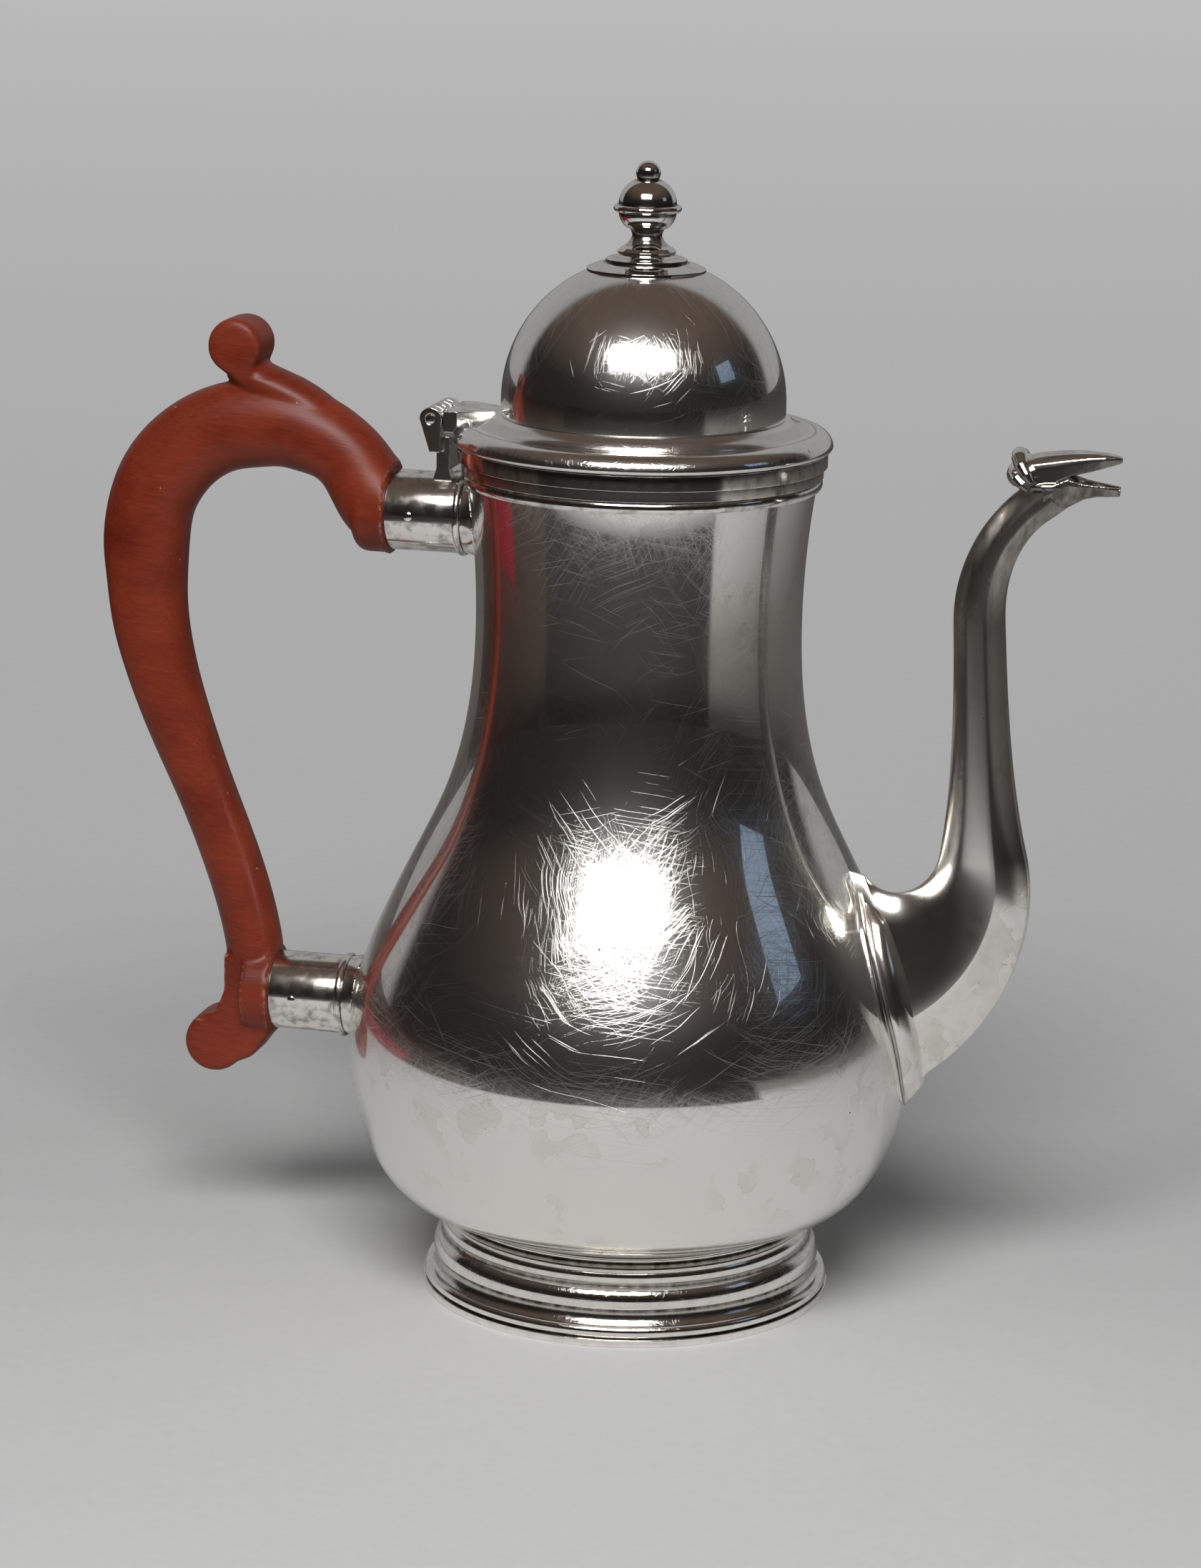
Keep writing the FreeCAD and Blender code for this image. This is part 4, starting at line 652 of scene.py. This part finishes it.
def spout_run(move):
    """The length of one move of the spout's centre line."""
    amount, start, end = move
    return amount if start == end else amount * math.radians(abs(end - start))


SPOUT_LENGTH = sum(spout_run(move) for move in SPOUT_MOVES)


def spout_at(distance):
    """The spout's centre line at a distance along it, as (x, z, heading in radians)."""
    x, z = SPOUT_START
    for move in SPOUT_MOVES:
        amount, start, end = move
        run = spout_run(move)
        share = min(distance / run, 1)
        heading = math.radians(start + (end - start) * share)
        turn = abs(heading - math.radians(start))
        chord = run * share if start == end else 2 * amount * math.sin(turn / 2)
        middle = (math.radians(start) + heading) / 2
        x += chord * math.cos(middle)
        z += chord * math.sin(middle)
        distance -= run
        if distance <= TINY:
            break
    return x, z, heading


def panel_line(deep, front, wide, left):
    """Half a section from front seam to back seam; left runs from 1 at the root to 0 at the neck."""
    front_panel = front * (NECK_PANEL_SHARE + (FRONT_PANEL_SHARE - NECK_PANEL_SHARE) * left)
    back_panel = deep * (NECK_PANEL_SHARE + (BACK_PANEL_SHARE - NECK_PANEL_SHARE) * left)
    back_wide = wide * (1 - BACK_NARROWING * left)
    back_edge = back_wide * (EDGE_SHARE + (BACK_EDGE_SHARE - EDGE_SHARE) * left)
    corners = [(front, SEAM), (front, wide * EDGE_SHARE), (front_panel, wide)]
    corners += [(-back_panel, back_wide), (-deep, max(back_edge, 2 * SEAM)), (-deep, SEAM)]
    line = [Vector((front - SEAM, SEAM_END))]
    for first, last in zip(corners, corners[1:]):
        along = Vector(last) - Vector(first)
        inward = Vector((along.y, -along.x)).normalized()
        inward *= min(PANEL_HOLLOW, along.length * HOLLOW_SHARE)
        worn = min(CORNER_WEAR / along.length, WEAR_SHARE)
        if len(line) > 1:
            begun = Vector(first) + along * worn
            line.append((line[-1] + 2 * Vector(first) + begun) / 4)
        for step in range(PANEL_STEPS + 1):
            gone = worn + (1 - 2 * worn) * step / PANEL_STEPS
            line.append(Vector(first) + along * gone + inward * (4 * gone * (1 - gone)))
    return line + [Vector((SEAM - deep, SEAM_END))]


def spout_point(distance, place, side):
    """A point of the spout's outside: place numbers it round the half section."""
    x, z, heading = spout_at(distance)
    left = max(1 - distance / TAPER_LENGTH, 0)
    deep = (NECK_DEPTH + (ROOT_DEPTH - NECK_DEPTH) * left**4) / 2
    wide = (NECK_WIDTH + (ROOT_WIDTH - NECK_WIDTH) * left**2) / 2
    narrow = limited((distance - THROAT_START) / (TAPER_LENGTH - THROAT_START))
    front = deep * (1 - THROAT_NARROWING * narrow**2 * (3 - 2 * narrow))
    wide *= 1 - END_NARROWING * narrow**2
    along, across = panel_line(deep, front, wide, left)[place]
    return Vector((x + math.sin(heading) * along, side * across, z - math.cos(heading) * along))


def outside_body(point):
    """How far a point stands out from the body."""
    return math.hypot(point.x, point.y) - body_radius(point.z)


spout_silver = silver("spout silver", haze=0.15, film=0.08, marks=0.6)
round_count = len(panel_line(NECK_DEPTH, NECK_DEPTH, NECK_WIDTH, 0))
for label, side in (("near", -1), ("far", 1)):
    points = []
    for place in range(round_count):
        low, high = 0.0, ROOT_SEARCH
        for _ in range(SEARCH_STEPS):
            middle = (low + high) / 2
            if outside_body(spout_point(middle, place, side)) > 0:
                high = middle
            else:
                low = middle
        for step in range(SPOUT_STEPS + 1):
            distance = low + (SPOUT_LENGTH - low) * step / SPOUT_STEPS
            points.append(spout_point(distance, place, side))
    faces = []
    for place in range(round_count - 1):
        for step in range(SPOUT_STEPS):
            here = place * (SPOUT_STEPS + 1) + step
            there = here + SPOUT_STEPS + 1
            face = (here, there, there + 1, here + 1)
            faces.append(face if side == 1 else face[::-1])
    hollow = [TARNISH_MOST * limited((z - TARNISH_FOOT) / TARNISH_RISE) for _, _, z in points]
    half = meshed(f"spout_{label}_casting", points, faces, hollow)
    fitted(half, "pot", f"spout_{label}_half", spout_silver)

# Head: the spout's lip, cast as a bird's head with a rolled tuft, a long beak and an open lower beak.
# It is soldered over the end of the neck, and coffee runs out between the beaks.

head_silver = silver("head silver", haze=0.12, film=0.3)
HEAD_VOXEL = 0.13
HEAD_PASSES = 9
UNDERSIDE_DARKENING, UNDERSIDE_START, UNDERSIDE_SPAN = 0.9, 0.35, 0.6
RIDGE_STEPS = 5
SECTION_STEPS = 28
ROPE_STEPS = 14
# Each station of the upper beak: x, ridge height, half width and height of its edge and of its underside
UPPER_BEAK = (
    (83.5, 191.7, 4.6, 189.3, 4.7, 184.4),
    (86.0, 192.3, 4.6, 189.6, 4.6, 185.0),
    (88.6, 192.75, 4.4, 190.0, 4.4, 186.0),
    (91.0, 193.05, 4.15, 190.45, 4.05, 187.3),
    (93.4, 193.25, 3.8, 190.9, 3.6, 188.3),
    (97.0, 193.3, 3.1, 191.6, 2.8, 189.2),
    (100.0, 193.1, 2.4, 192.0, 2.0, 190.0),
    (102.2, 192.75, 1.6, 192.1, 1.3, 190.7),
    (103.4, 192.3, 0.9, 191.9, 0.7, 191.1),
)
# Each station of the scoop: x, height of its lip, height of its underside, half width
LOWER_BEAK = (
    (87.5, 185.4, 177.2, 5.1),
    (90.0, 186.4, 179.1, 4.9),
    (92.5, 187.6, 181.1, 4.5),
    (95.7, 186.7, 182.9, 3.8),
    (98.5, 186.35, 183.65, 3.1),
    (101.0, 186.1, 183.75, 2.4),
    (103.2, 185.9, 183.9, 1.5),
)
# The skull and the two cheeks: centre x, y and z, half lengths, lean in degrees
LUMPS = (
    ((84.0, 0, 188.2), (5.0, 5.2, 3.6), 16),
    ((88.2, -3.3, 185.7), (4.6, 1.8, 1.2), 3),
    ((88.2, 3.3, 185.7), (4.6, 1.8, 1.2), 3),
)
# The folds of the tuft, half of each: x, y, z and radius from the crown down to the cheek
FOLDS = (
    (
        (81.7, 0, 191.7, 1.7),
        (81.9, 2.0, 191.2, 1.65),
        (82.7, 3.7, 189.8, 1.5),
        (84.0, 4.7, 188.0, 1.2),
        (85.2, 4.9, 186.4, 0.8),
    ),
    (
        (80.9, 0, 188.2, 1.5),
        (81.1, 2.3, 187.9, 1.5),
        (81.9, 4.0, 187.0, 1.35),
        (83.2, 4.8, 185.9, 1.0),
        (84.6, 4.9, 185.0, 0.7),
    ),
)
SCOOP_WALL = 0.7


def bridged(sections):
    """Points and faces of a closed skin over a row of like sections."""
    points = [point for section in sections for point in section]
    count = len(sections[0])
    faces = [tuple(range(count))[::-1], tuple(range(len(points) - count, len(points)))]
    for row in range(len(sections) - 1):
        for step in range(count):
            here = row * count + step
            ahead = row * count + (step + 1) % count
            faces.append((here, ahead, ahead + count, here + count))
    return points, faces


def beak(x, top, wide, edge, low_wide, low):
    """A section of the upper beak: a rounded ridge, a crisp edge each side and a flat underside."""
    half = [(low_wide / 2, low), (low_wide, low), (wide, edge)]
    for step in range(1, RIDGE_STEPS + 1):
        angle = math.pi / 2 * step / RIDGE_STEPS
        half.append((wide * math.cos(angle), edge + (top - edge) * math.sin(angle)))
    return [(x, -across, z) for across, z in half] + [(x, across, z) for across, z in half[-2::-1]]


def scoop(x, lip, under, wide):
    """A hollow section of the lower beak, open upwards."""
    outer = []
    inner = []
    for step in range(SECTION_STEPS // 2 + 1):
        angle = math.pi * (1 + step / (SECTION_STEPS // 2))
        outer.append((x, wide * math.cos(angle), lip + (lip - under) * math.sin(angle)))
        hollow = wide - SCOOP_WALL
        inner.append((x, hollow * math.cos(angle), lip + (lip - under - SCOOP_WALL) * math.sin(angle)))
    return outer + inner[::-1]


def united(name, solids, voxel, passes):
    """Several closed skins melted into one piece with soft joins."""
    points = []
    faces = []
    for some_points, some_faces in solids:
        faces += [tuple(number + len(points) for number in face) for face in some_faces]
        points += some_points
    return melted(meshed(name, points, faces), voxel, passes)


def lump(centre, halves, lean):
    """A rounded lump, leaning back by some degrees."""
    turn = math.radians(lean)
    sections = []
    for step in range(1, ROPE_STEPS):
        angle = math.pi * step / ROPE_STEPS
        ring = []
        for spoke in range(SECTION_STEPS):
            way = 2 * math.pi * spoke / SECTION_STEPS
            out = -math.cos(angle) * halves[0]
            across = math.sin(angle) * halves[1] * math.cos(way)
            rise = math.sin(angle) * halves[2] * math.sin(way)
            x = centre[0] + out * math.cos(turn) - rise * math.sin(turn)
            z = centre[2] + out * math.sin(turn) + rise * math.cos(turn)
            ring.append((x, centre[1] + across, z))
        sections.append(ring)
    return bridged(sections)


def fold(stations):
    """A roll that wraps over the head from cheek to cheek."""
    path = [(x, -y, z, radius) for x, y, z, radius in stations[:0:-1]] + list(stations)
    sections = []
    for index, (x, y, z, radius) in enumerate(path):
        before = Vector(path[max(index - 1, 0)][:3])
        after = Vector(path[min(index + 1, len(path) - 1)][:3])
        along = (after - before).normalized()
        side = along.cross(Vector((1, 0, 0))).normalized()
        other = along.cross(side)
        ring = []
        for spoke in range(SECTION_STEPS):
            way = 2 * math.pi * spoke / SECTION_STEPS
            outward = side * math.cos(way) + other * math.sin(way)
            ring.append(tuple(Vector((x, y, z)) + outward * radius))
        sections.append(ring)
    return bridged(sections)


solids = [bridged([beak(*station) for station in UPPER_BEAK])]
solids.append(bridged([scoop(*station) for station in LOWER_BEAK]))
solids += [lump(*each) for each in LUMPS] + [fold(each) for each in FOLDS]
head = united("bird_head", solids, HEAD_VOXEL, HEAD_PASSES)
# The head is made darker where its skin faces downwards.
hollow = []
for point in head.data.vertices:
    hollow.append(UNDERSIDE_DARKENING * limited((UNDERSIDE_START - point.normal.z) / UNDERSIDE_SPAN))
head.data.attributes.new("recess", "FLOAT", "POINT").data.foreach_set("value", hollow)
fitted(head, "pot", "spout_head", head_silver)

# Apron: a chased flange that spreads the spout's root over the body, with a channel inside its edge.
# It is soldered to the body all round, and its tip runs down to a point.

FLANGE_ROWS = 110
# Each station up the flange: height, half width of its edge, half width of its ridge
FLANGE_EDGE = (
    (46.6, 1.2, 0.6),
    (49.0, 5.0, 3.6),
    (53.0, 8.9, 7.2),
    (60.0, 12.6, 10.6),
    (68.0, 14.4, 12.2),
    (75.0, 13.6, 11.4),
    (81.6, 11.4, 9.4),
    (87.0, 8.7, 6.6),
    (91.5, 5.0, 3.2),
    (94.0, 3.0, 1.6),
)
# Each step from the edge to the spout: share of the strip from edge to ridge, height, tarnish
FLANGE_STEPS = (
    (0, -0.1, 0.3),
    (0, 0.35, 0),
    (0.15, 0.6, 0),
    (0.4, 0.75, 0),
    (0.65, 0.7, 0),
    (0.8, 0.5, 0.8),
    (0.9, 0.55, 1),
    (1, 1, 0.4),
    (1.15, 1, 0.4),
    (1.3, 0.6, 1),
)
SPOUT_SIDE, SIDE_SHARE = 4.6, 0.45
RIB_RISE, RIB_REACH, RIB_STEPS = 3.6, 6, 8
SLOPE_STEP = 0.1


def smooth_at(stations, height, column):
    """A value of the table of stations at a height, with smooth joins."""
    rows = [row for row in stations if row[0] <= height] or [stations[0]]
    index = min(len(rows) - 1, len(stations) - 2)
    around = [stations[min(max(index + step, 0), len(stations) - 1)] for step in (-1, 0, 1, 2)]
    share = (height - around[1][0]) / (around[2][0] - around[1][0])
    first, start, end, last = (row[column] for row in around)
    leave = (end - first) / (around[2][0] - around[0][0]) * (around[2][0] - around[1][0])
    arrive = (last - start) / (around[3][0] - around[1][0]) * (around[2][0] - around[1][0])
    cubic = (2 * share**3 - 3 * share**2 + 1) * start + (share**3 - 2 * share**2 + share) * leave
    return cubic + (3 * share**2 - 2 * share**3) * end + (share**3 - share**2) * arrive


def flange_section(height):
    """Half of the flange from its edge to the spout, as across, out and tarnish."""
    edge = smooth_at(FLANGE_EDGE, height, 1)
    strip = edge - smooth_at(FLANGE_EDGE, height, 2)
    line = [(edge - share * strip, out, tarnish) for share, out, tarnish in FLANGE_STEPS]
    start, low, _ = line[-1]
    inner = min(SPOUT_SIDE, start * SIDE_SHARE)
    rise = RIB_RISE * min(1, start / RIB_REACH)
    for step in range(1, RIB_STEPS + 1):
        angle = math.pi / 2 * step / RIB_STEPS
        across = start + (inner - start) * (1 - math.cos(angle))
        line.append((across, low + rise * math.sin(angle), 0))
    return line


def on_body(height, across, out):
    """A point over the body's spout side, out from its surface."""
    radius = body_radius(height)
    slope = (body_radius(height + SLOPE_STEP) - body_radius(height - SLOPE_STEP)) / (2 * SLOPE_STEP)
    tilt = math.hypot(1, slope)
    turn = math.asin(max(min(across / radius, 1), -1))
    reach = radius + out / tilt
    return (reach * math.cos(turn), reach * math.sin(turn), height - out * slope / tilt)


points = []
faces = []
hollow = []
foot, top = FLANGE_EDGE[0][0], FLANGE_EDGE[-1][0]
for row in range(FLANGE_ROWS + 1):
    height = foot + (top - foot) * row / FLANGE_ROWS
    section = flange_section(height)
    for side, stops in ((-1, section), (1, section[::-1])):
        for across, out, dirt in stops:
            points.append(on_body(height, side * across, out))
            hollow.append(dirt)
across_count = 2 * len(section)
for row in range(FLANGE_ROWS):
    for step in range(across_count - 1):
        here = row * across_count + step
        faces.append((here, here + 1, here + 1 + across_count, here + across_count))
apron = meshed("root_flange", points, faces, hollow)
fitted(apron, "pot", "spout_apron", spout_silver)

# Hinge: a fixed leaf with three knuckles on a short stem, filed up from silver.
# It is soldered on top of the upper socket, and a silver pin runs through its knuckles and the lid's.

HINGE_PLACE = (-0.0451976, 0, 0.1933)
ROD_RADIUS, ROD_SHOULDER, ROD_HALF, ROD_BEND = 1.0, 7.85, 8.0, 3.4
hinge_silver = silver("hinge silver", haze=0.15, film=0.45)
bracket = softened("hinge_fixed_leaf", "hinge_bracket", voxel=0.15, passes=3)
fitted(bracket, "pot", "hinge_bracket", hinge_silver)
rod_end = arc_between((ROD_RADIUS, ROD_SHOULDER), (0, ROD_HALF), ROD_BEND, SWELL, 5)
rod_line = [(radius, -length) for radius, length in rod_end[::-1]] + rod_end
hinge_pin = turned("hinge_rod", rod_line, worn=0.02, closed=False, steps=PIN_STEPS)
crosswise = Matrix.Rotation(math.radians(90), 4, "X")
hinge_pin.data.transform(Matrix.Translation(HINGE_PLACE) @ crosswise)
fitted(hinge_pin, "pot", "hinge_pin", hinge_silver)

# Lid: a dome raised by hammer from sheet silver, soldered to a moulded flange.
# A plain bezel is soldered inside the flange and seats in the mouth. Each outline is radius and height.

DOME_CENTRE, DOME_OUTSIDE, DOME_INSIDE, DOME_TOP = (0, 198.7), 30.64, 29.65, 86
lid_silver = silver("lid silver", scratches=0.7, film=0.06, halo=0.6)
bezel = turned("lid_bezel_ring", [(34.7, 181.2), (35.7, 181.2), (35.7, 192.1), (34.7, 192.1)], worn=0.2)
fitted(bezel, "lid", "lid_bezel", lid_silver)
flange = turned(
    "lid_flange_moulding",
    [(35.8, 189.2)]
    + arc_between((40.2, 189.2), (40.99, 190.0), 0.8, SWELL, 6)
    + arc_between((40.99, 190.0), (37.5, 193.2), 3.6, SWELL, 16)[1:]
    + [(37.15, 192.85)]
    + arc_between((36.8, 193.2), (31.55, 195.55), 8.0, HOLLOW, 14)
    + [(29.65, 195.55), (29.65, 194.35), (35.8, 192.15)],
    worn=0.1,
)
fitted(flange, "lid", "lid_flange", lid_silver)
dome = turned(
    "lid_dome_raising",
    [(DOME_INSIDE, 195.6), (DOME_OUTSIDE, 195.6)]
    + arc_run(DOME_CENTRE, DOME_OUTSIDE, 0, DOME_TOP, 48)
    + arc_run(DOME_CENTRE, DOME_INSIDE, DOME_TOP, 0, 48),
    worn=0.1,
)
fitted(dome, "lid", "lid_dome", lid_silver)

# Finial: a baluster turned from solid silver, with its shank through a stepped disc on top of the dome.
# A nut on the shank holds both from inside the lid. Each outline is radius and height.

finial_silver = silver("finial silver", haze=0.06, film=0.15)
plate = turned(
    "finial_disc",
    arc_run(DOME_CENTRE, 30.72, DOME_TOP, 65.8, 12)
    + [(12.75, 226.6), (12.75, 227.2)]
    + arc_between((12.2, 227.4), (9.0, 228.5), 9.0, SWELL, 6)
    + [(8.7, 228.5), (8.7, 229.2)]
    + arc_between((8.3, 229.4), (6.3, 230.25), 5.0, HOLLOW, 6)
    + [(2.1, 230.25)],
    worn=0.15,
)
fitted(plate, "lid", "finial_plate", finial_silver)
finial = turned(
    "finial_turning",
    [(2.0, 223.6), (2.0, 230.3), (6.1, 230.3), (6.25, 230.9)]
    + arc_between((5.6, 231.6), (3.2, 234.1), 4.2, HOLLOW)
    + arc_between((3.2, 234.1), (3.75, 235.6), 2.6, HOLLOW, 6)[1:]
    + [(4.2, 235.75)]
    + arc_between((4.5, 235.9), (6.2, 239.15), 4.4, SWELL, 12)
    + arc_between((6.75, 239.2), (6.75, 240.7), 0.8, SWELL, 8)
    + arc_between((6.2, 240.75), (2.35, 246.1), 5.6, SWELL, 14)
    + arc_between((2.35, 246.2), (0, 249.99), 2.6, SWELL, 14),
    worn=0.12,
    closed=False,
)
fitted(finial, "lid", "finial", finial_silver)
nut_line = [(2.05, 225.7), (5.0, 225.7), (5.0, 227.9), (2.05, 227.9)]
nut = turned("finial_holding_nut", nut_line, worn=0.2)
fitted(nut, "lid", "finial_nut", finial_silver)

# Lid leaf: a silver wedge with two knuckles that fit between the three of the fixed leaf.
# It is soldered over the flange to the dome, and carries the lid round the pin.

leaf = softened("hinge_lid_leaf", "lid_hinge_leaf", voxel=0.15, passes=3)
fitted(leaf, "lid", "lid_hinge_leaf", hinge_silver)

# Studio: a pale table that runs far back to a pale backdrop, under one soft lamp above the camera.
# The silver mirrors a dim room painted into the table as painted reflection: dark in front, a red strip
# on the left; a blue window lamp shines from the right.
# Only the camera sees the whole table pale, and its far parts glow a little to meet the backdrop.

FLOOR_HALF, FLOOR_DROP = 12.0, 0.00002
TABLE_DEEP, TABLE_PALE, PILE_CELL = (0.61, 0.612, 0.617, 1), (0.66, 0.662, 0.665, 1), 0.003
PAINTED_ROOM_COLOUR = (0.025, 0.022, 0.02, 1)
# What the silver mirrors in the table, painted there as reflection: colours, ways from the pot with
# their limits, reaches in metres
PAINTED_SIDE_COLOUR, SIDE_WAY, SIDE_RANGE = (0.07, 0.052, 0.042, 1), (-1, 0, 0), (0.79, 0.81)
PAINTED_RED_COLOUR, RED_WAY, RED_RANGE = (0.35, 0.02, 0.035, 1), (-0.966, 0.258, 0), (0.92, 0.93)
RED_REACH = (0.62, 0.61)
PAPER_WAY, PAPER_RANGE, PAPER_REACH = (0.53, 0.848, 0), (0.06, 0.11), (0.42, 0.385)
PAINTED_DIM_COLOUR, DIM_REACH = (0.27, 0.255, 0.24, 1), (0.45, 0.7)
# Where the table glows for the camera: behind the pot, or beyond a reach
GLOW_COLOUR, GLOW_START, GLOW_REACH = (0.52, 0.52, 0.525, 1), -0.1, 0.9
CAMERA_WAY, BACK_WAY = (0.225, -0.974, 0), (-0.225, 0.974, 0)
# The room as the silver mirrors it, the light in its air, and the backdrop that the camera sees
ROOM_COLOUR, CEILING_COLOUR = (0.015, 0.0132, 0.012, 1), (0.09, 0.066, 0.052, 1)
CEILING_RANGE = (0.3, 0.8)
BACK_COLOUR, BACK_RANGE = (0.32, 0.32, 0.32, 1), (0.45, 0.55)
AIR_COLOUR = (0.1, 0.1, 0.1, 1)
BACKDROP_COLOUR = (0.5, 0.5, 0.505, 1)
LAMP_TARGET = (0, 0, 0.1)


def reach_along(tree, place, direction):
    """How far a place reaches along a direction."""
    node = add(tree, "ShaderNodeVectorMath", {"operation": "DOT_PRODUCT"}, Vector=place)
    node.inputs[1].default_value = direction
    return node.outputs["Value"]


bpy.ops.mesh.primitive_plane_add(size=2 * FLOOR_HALF, location=(0, 0, -FLOOR_DROP))
floor = bpy.context.object
floor.name = "table"
table, tree, cloth = new_material("pale table")
cloth.inputs["Roughness"].default_value = 0.9
cloth.inputs["Specular IOR Level"].default_value = 0.1
spot = tree.nodes.new("ShaderNodeTexCoord").outputs["Object"]
seen = tree.nodes.new("ShaderNodeLightPath").outputs["Is Camera Ray"]
outward = add(tree, "ShaderNodeVectorMath", {"operation": "NORMALIZE"}, Vector=spot).outputs["Vector"]
reach = add(tree, "ShaderNodeVectorMath", {"operation": "LENGTH"}, Vector=spot).outputs["Value"]
# Painted reflection: for every ray except the camera's, the table is painted dark in front and on the
# left, with a red strip and a dim grey further out.
side = ranged(tree, reach_along(tree, outward, SIDE_WAY), *SIDE_RANGE)
front = tinted(tree, side, PAINTED_ROOM_COLOUR, PAINTED_SIDE_COLOUR)
red = ranged(tree, reach_along(tree, outward, RED_WAY), *RED_RANGE)
red = maths(tree, "MULTIPLY", ranged(tree, reach, *RED_REACH), red)
front = tinted(tree, red, front, PAINTED_RED_COLOUR)
paper = ranged(tree, reach_along(tree, outward, PAPER_WAY), *PAPER_RANGE)
paper = maths(tree, "MAXIMUM", paper, ranged(tree, reach, *PAPER_REACH))
lit = maths(tree, "MAXIMUM", paper, seen)
mirrored = maths(tree, "SUBTRACT", 1.0, seen)
dim = maths(tree, "MULTIPLY", ranged(tree, reach, *DIM_REACH), mirrored)
shade = tinted(tree, grain(tree, spot, PILE_CELL, detail=3.0), TABLE_DEEP, TABLE_PALE)
sheet = tinted(tree, dim, shade, PAINTED_DIM_COLOUR)
tree.links.new(tinted(tree, lit, front, sheet), cloth.inputs["Base Color"])
behind = maths(tree, "SUBTRACT", GLOW_START, reach_along(tree, spot, CAMERA_WAY))
away = maths(tree, "MAXIMUM", behind, maths(tree, "SUBTRACT", reach, GLOW_REACH), 0.0)
far = maths(tree, "DIVIDE", away, maths(tree, "ADD", away, 1.0))
far = maths(tree, "MULTIPLY", far, seen)
tree.links.new(tinted(tree, far, (0, 0, 0, 1), GLOW_COLOUR), cloth.inputs["Emission Color"])
cloth.inputs["Emission Strength"].default_value = 1.0
floor.data.materials.append(table)

world = bpy.data.worlds.new("room")
bpy.context.scene.world = world
world.use_nodes = True
tree = world.node_tree
sky = tree.nodes["Background"]
way = tree.nodes.new("ShaderNodeTexCoord").outputs["Generated"]
apart = add(tree, "ShaderNodeSeparateXYZ", Vector=way)
rays = tree.nodes.new("ShaderNodeLightPath").outputs
overhead = ranged(tree, apart.outputs["Z"], *CEILING_RANGE)
room = tinted(tree, overhead, ROOM_COLOUR, CEILING_COLOUR)
behind = ranged(tree, reach_along(tree, way, BACK_WAY), *BACK_RANGE)
room = tinted(tree, behind, room, BACK_COLOUR)
air = tinted(tree, rays["Is Glossy Ray"], AIR_COLOUR, room)
backdrop = tinted(tree, rays["Is Camera Ray"], air, BACKDROP_COLOUR)
tree.links.new(backdrop, sky.inputs["Color"])
sky.inputs["Strength"].default_value = 1.0


def lamp(name, place, width, height, power, colour):
    """A soft rectangular lamp that looks at the pot."""
    light = bpy.data.lights.new(name, "AREA")
    light.shape = "RECTANGLE"
    light.size = width
    light.size_y = height
    light.energy = power
    light.color = colour
    holder = bpy.data.objects.new(name, light)
    bpy.context.scene.collection.objects.link(holder)
    holder.location = place
    holder.rotation_euler = (Vector(LAMP_TARGET) - Vector(place)).to_track_quat("-Z", "Y").to_euler()


lamp("softbox", (0.11, -1.01, 1.105), width=0.88, height=0.44, power=19.0, colour=(1.0, 0.995, 0.985))
lamp("window", (1.5, -0.05, 0.8), width=0.42, height=0.34, power=0.16, colour=(0.5, 0.7, 1.0))

# Camera: a long lens about a metre away and a little above the lid, looking down.
# It stands 13 degrees round from the pot's side, towards the spout.

CAMERA_AZIMUTH = math.radians(13.0)
CAMERA_YAW = math.radians(0.451)
CAMERA_PITCH = math.radians(13.512)
CAMERA_ROLL = math.radians(1.124)
CAMERA_DISTANCE, CAMERA_HEIGHT = 0.9707, 0.3471
SENSOR_HEIGHT, LENS = 36.0, 104.64
heading = CAMERA_AZIMUTH + CAMERA_YAW
forward = Vector((-math.sin(heading), math.cos(heading), -math.tan(CAMERA_PITCH))).normalized()
right = forward.cross(Vector((0, 0, 1))).normalized()
upward = right.cross(forward)
across = right * math.cos(CAMERA_ROLL) + upward * math.sin(CAMERA_ROLL)
upright = upward * math.cos(CAMERA_ROLL) - right * math.sin(CAMERA_ROLL)
view = bpy.data.cameras.new("view")
view.sensor_fit = "VERTICAL"
view.sensor_height = SENSOR_HEIGHT
view.lens = LENS
view.dof.use_dof = False
camera = bpy.data.objects.new("view", view)
bpy.context.scene.collection.objects.link(camera)
camera.matrix_world = Matrix(
    (
        (across.x, upright.x, -forward.x, CAMERA_DISTANCE * math.sin(CAMERA_AZIMUTH)),
        (across.y, upright.y, -forward.y, -CAMERA_DISTANCE * math.cos(CAMERA_AZIMUTH)),
        (across.z, upright.z, -forward.z, CAMERA_HEIGHT),
        (0, 0, 0, 1),
    )
)
bpy.context.scene.camera = camera
bpy.context.scene.view_settings.view_transform = "Standard"
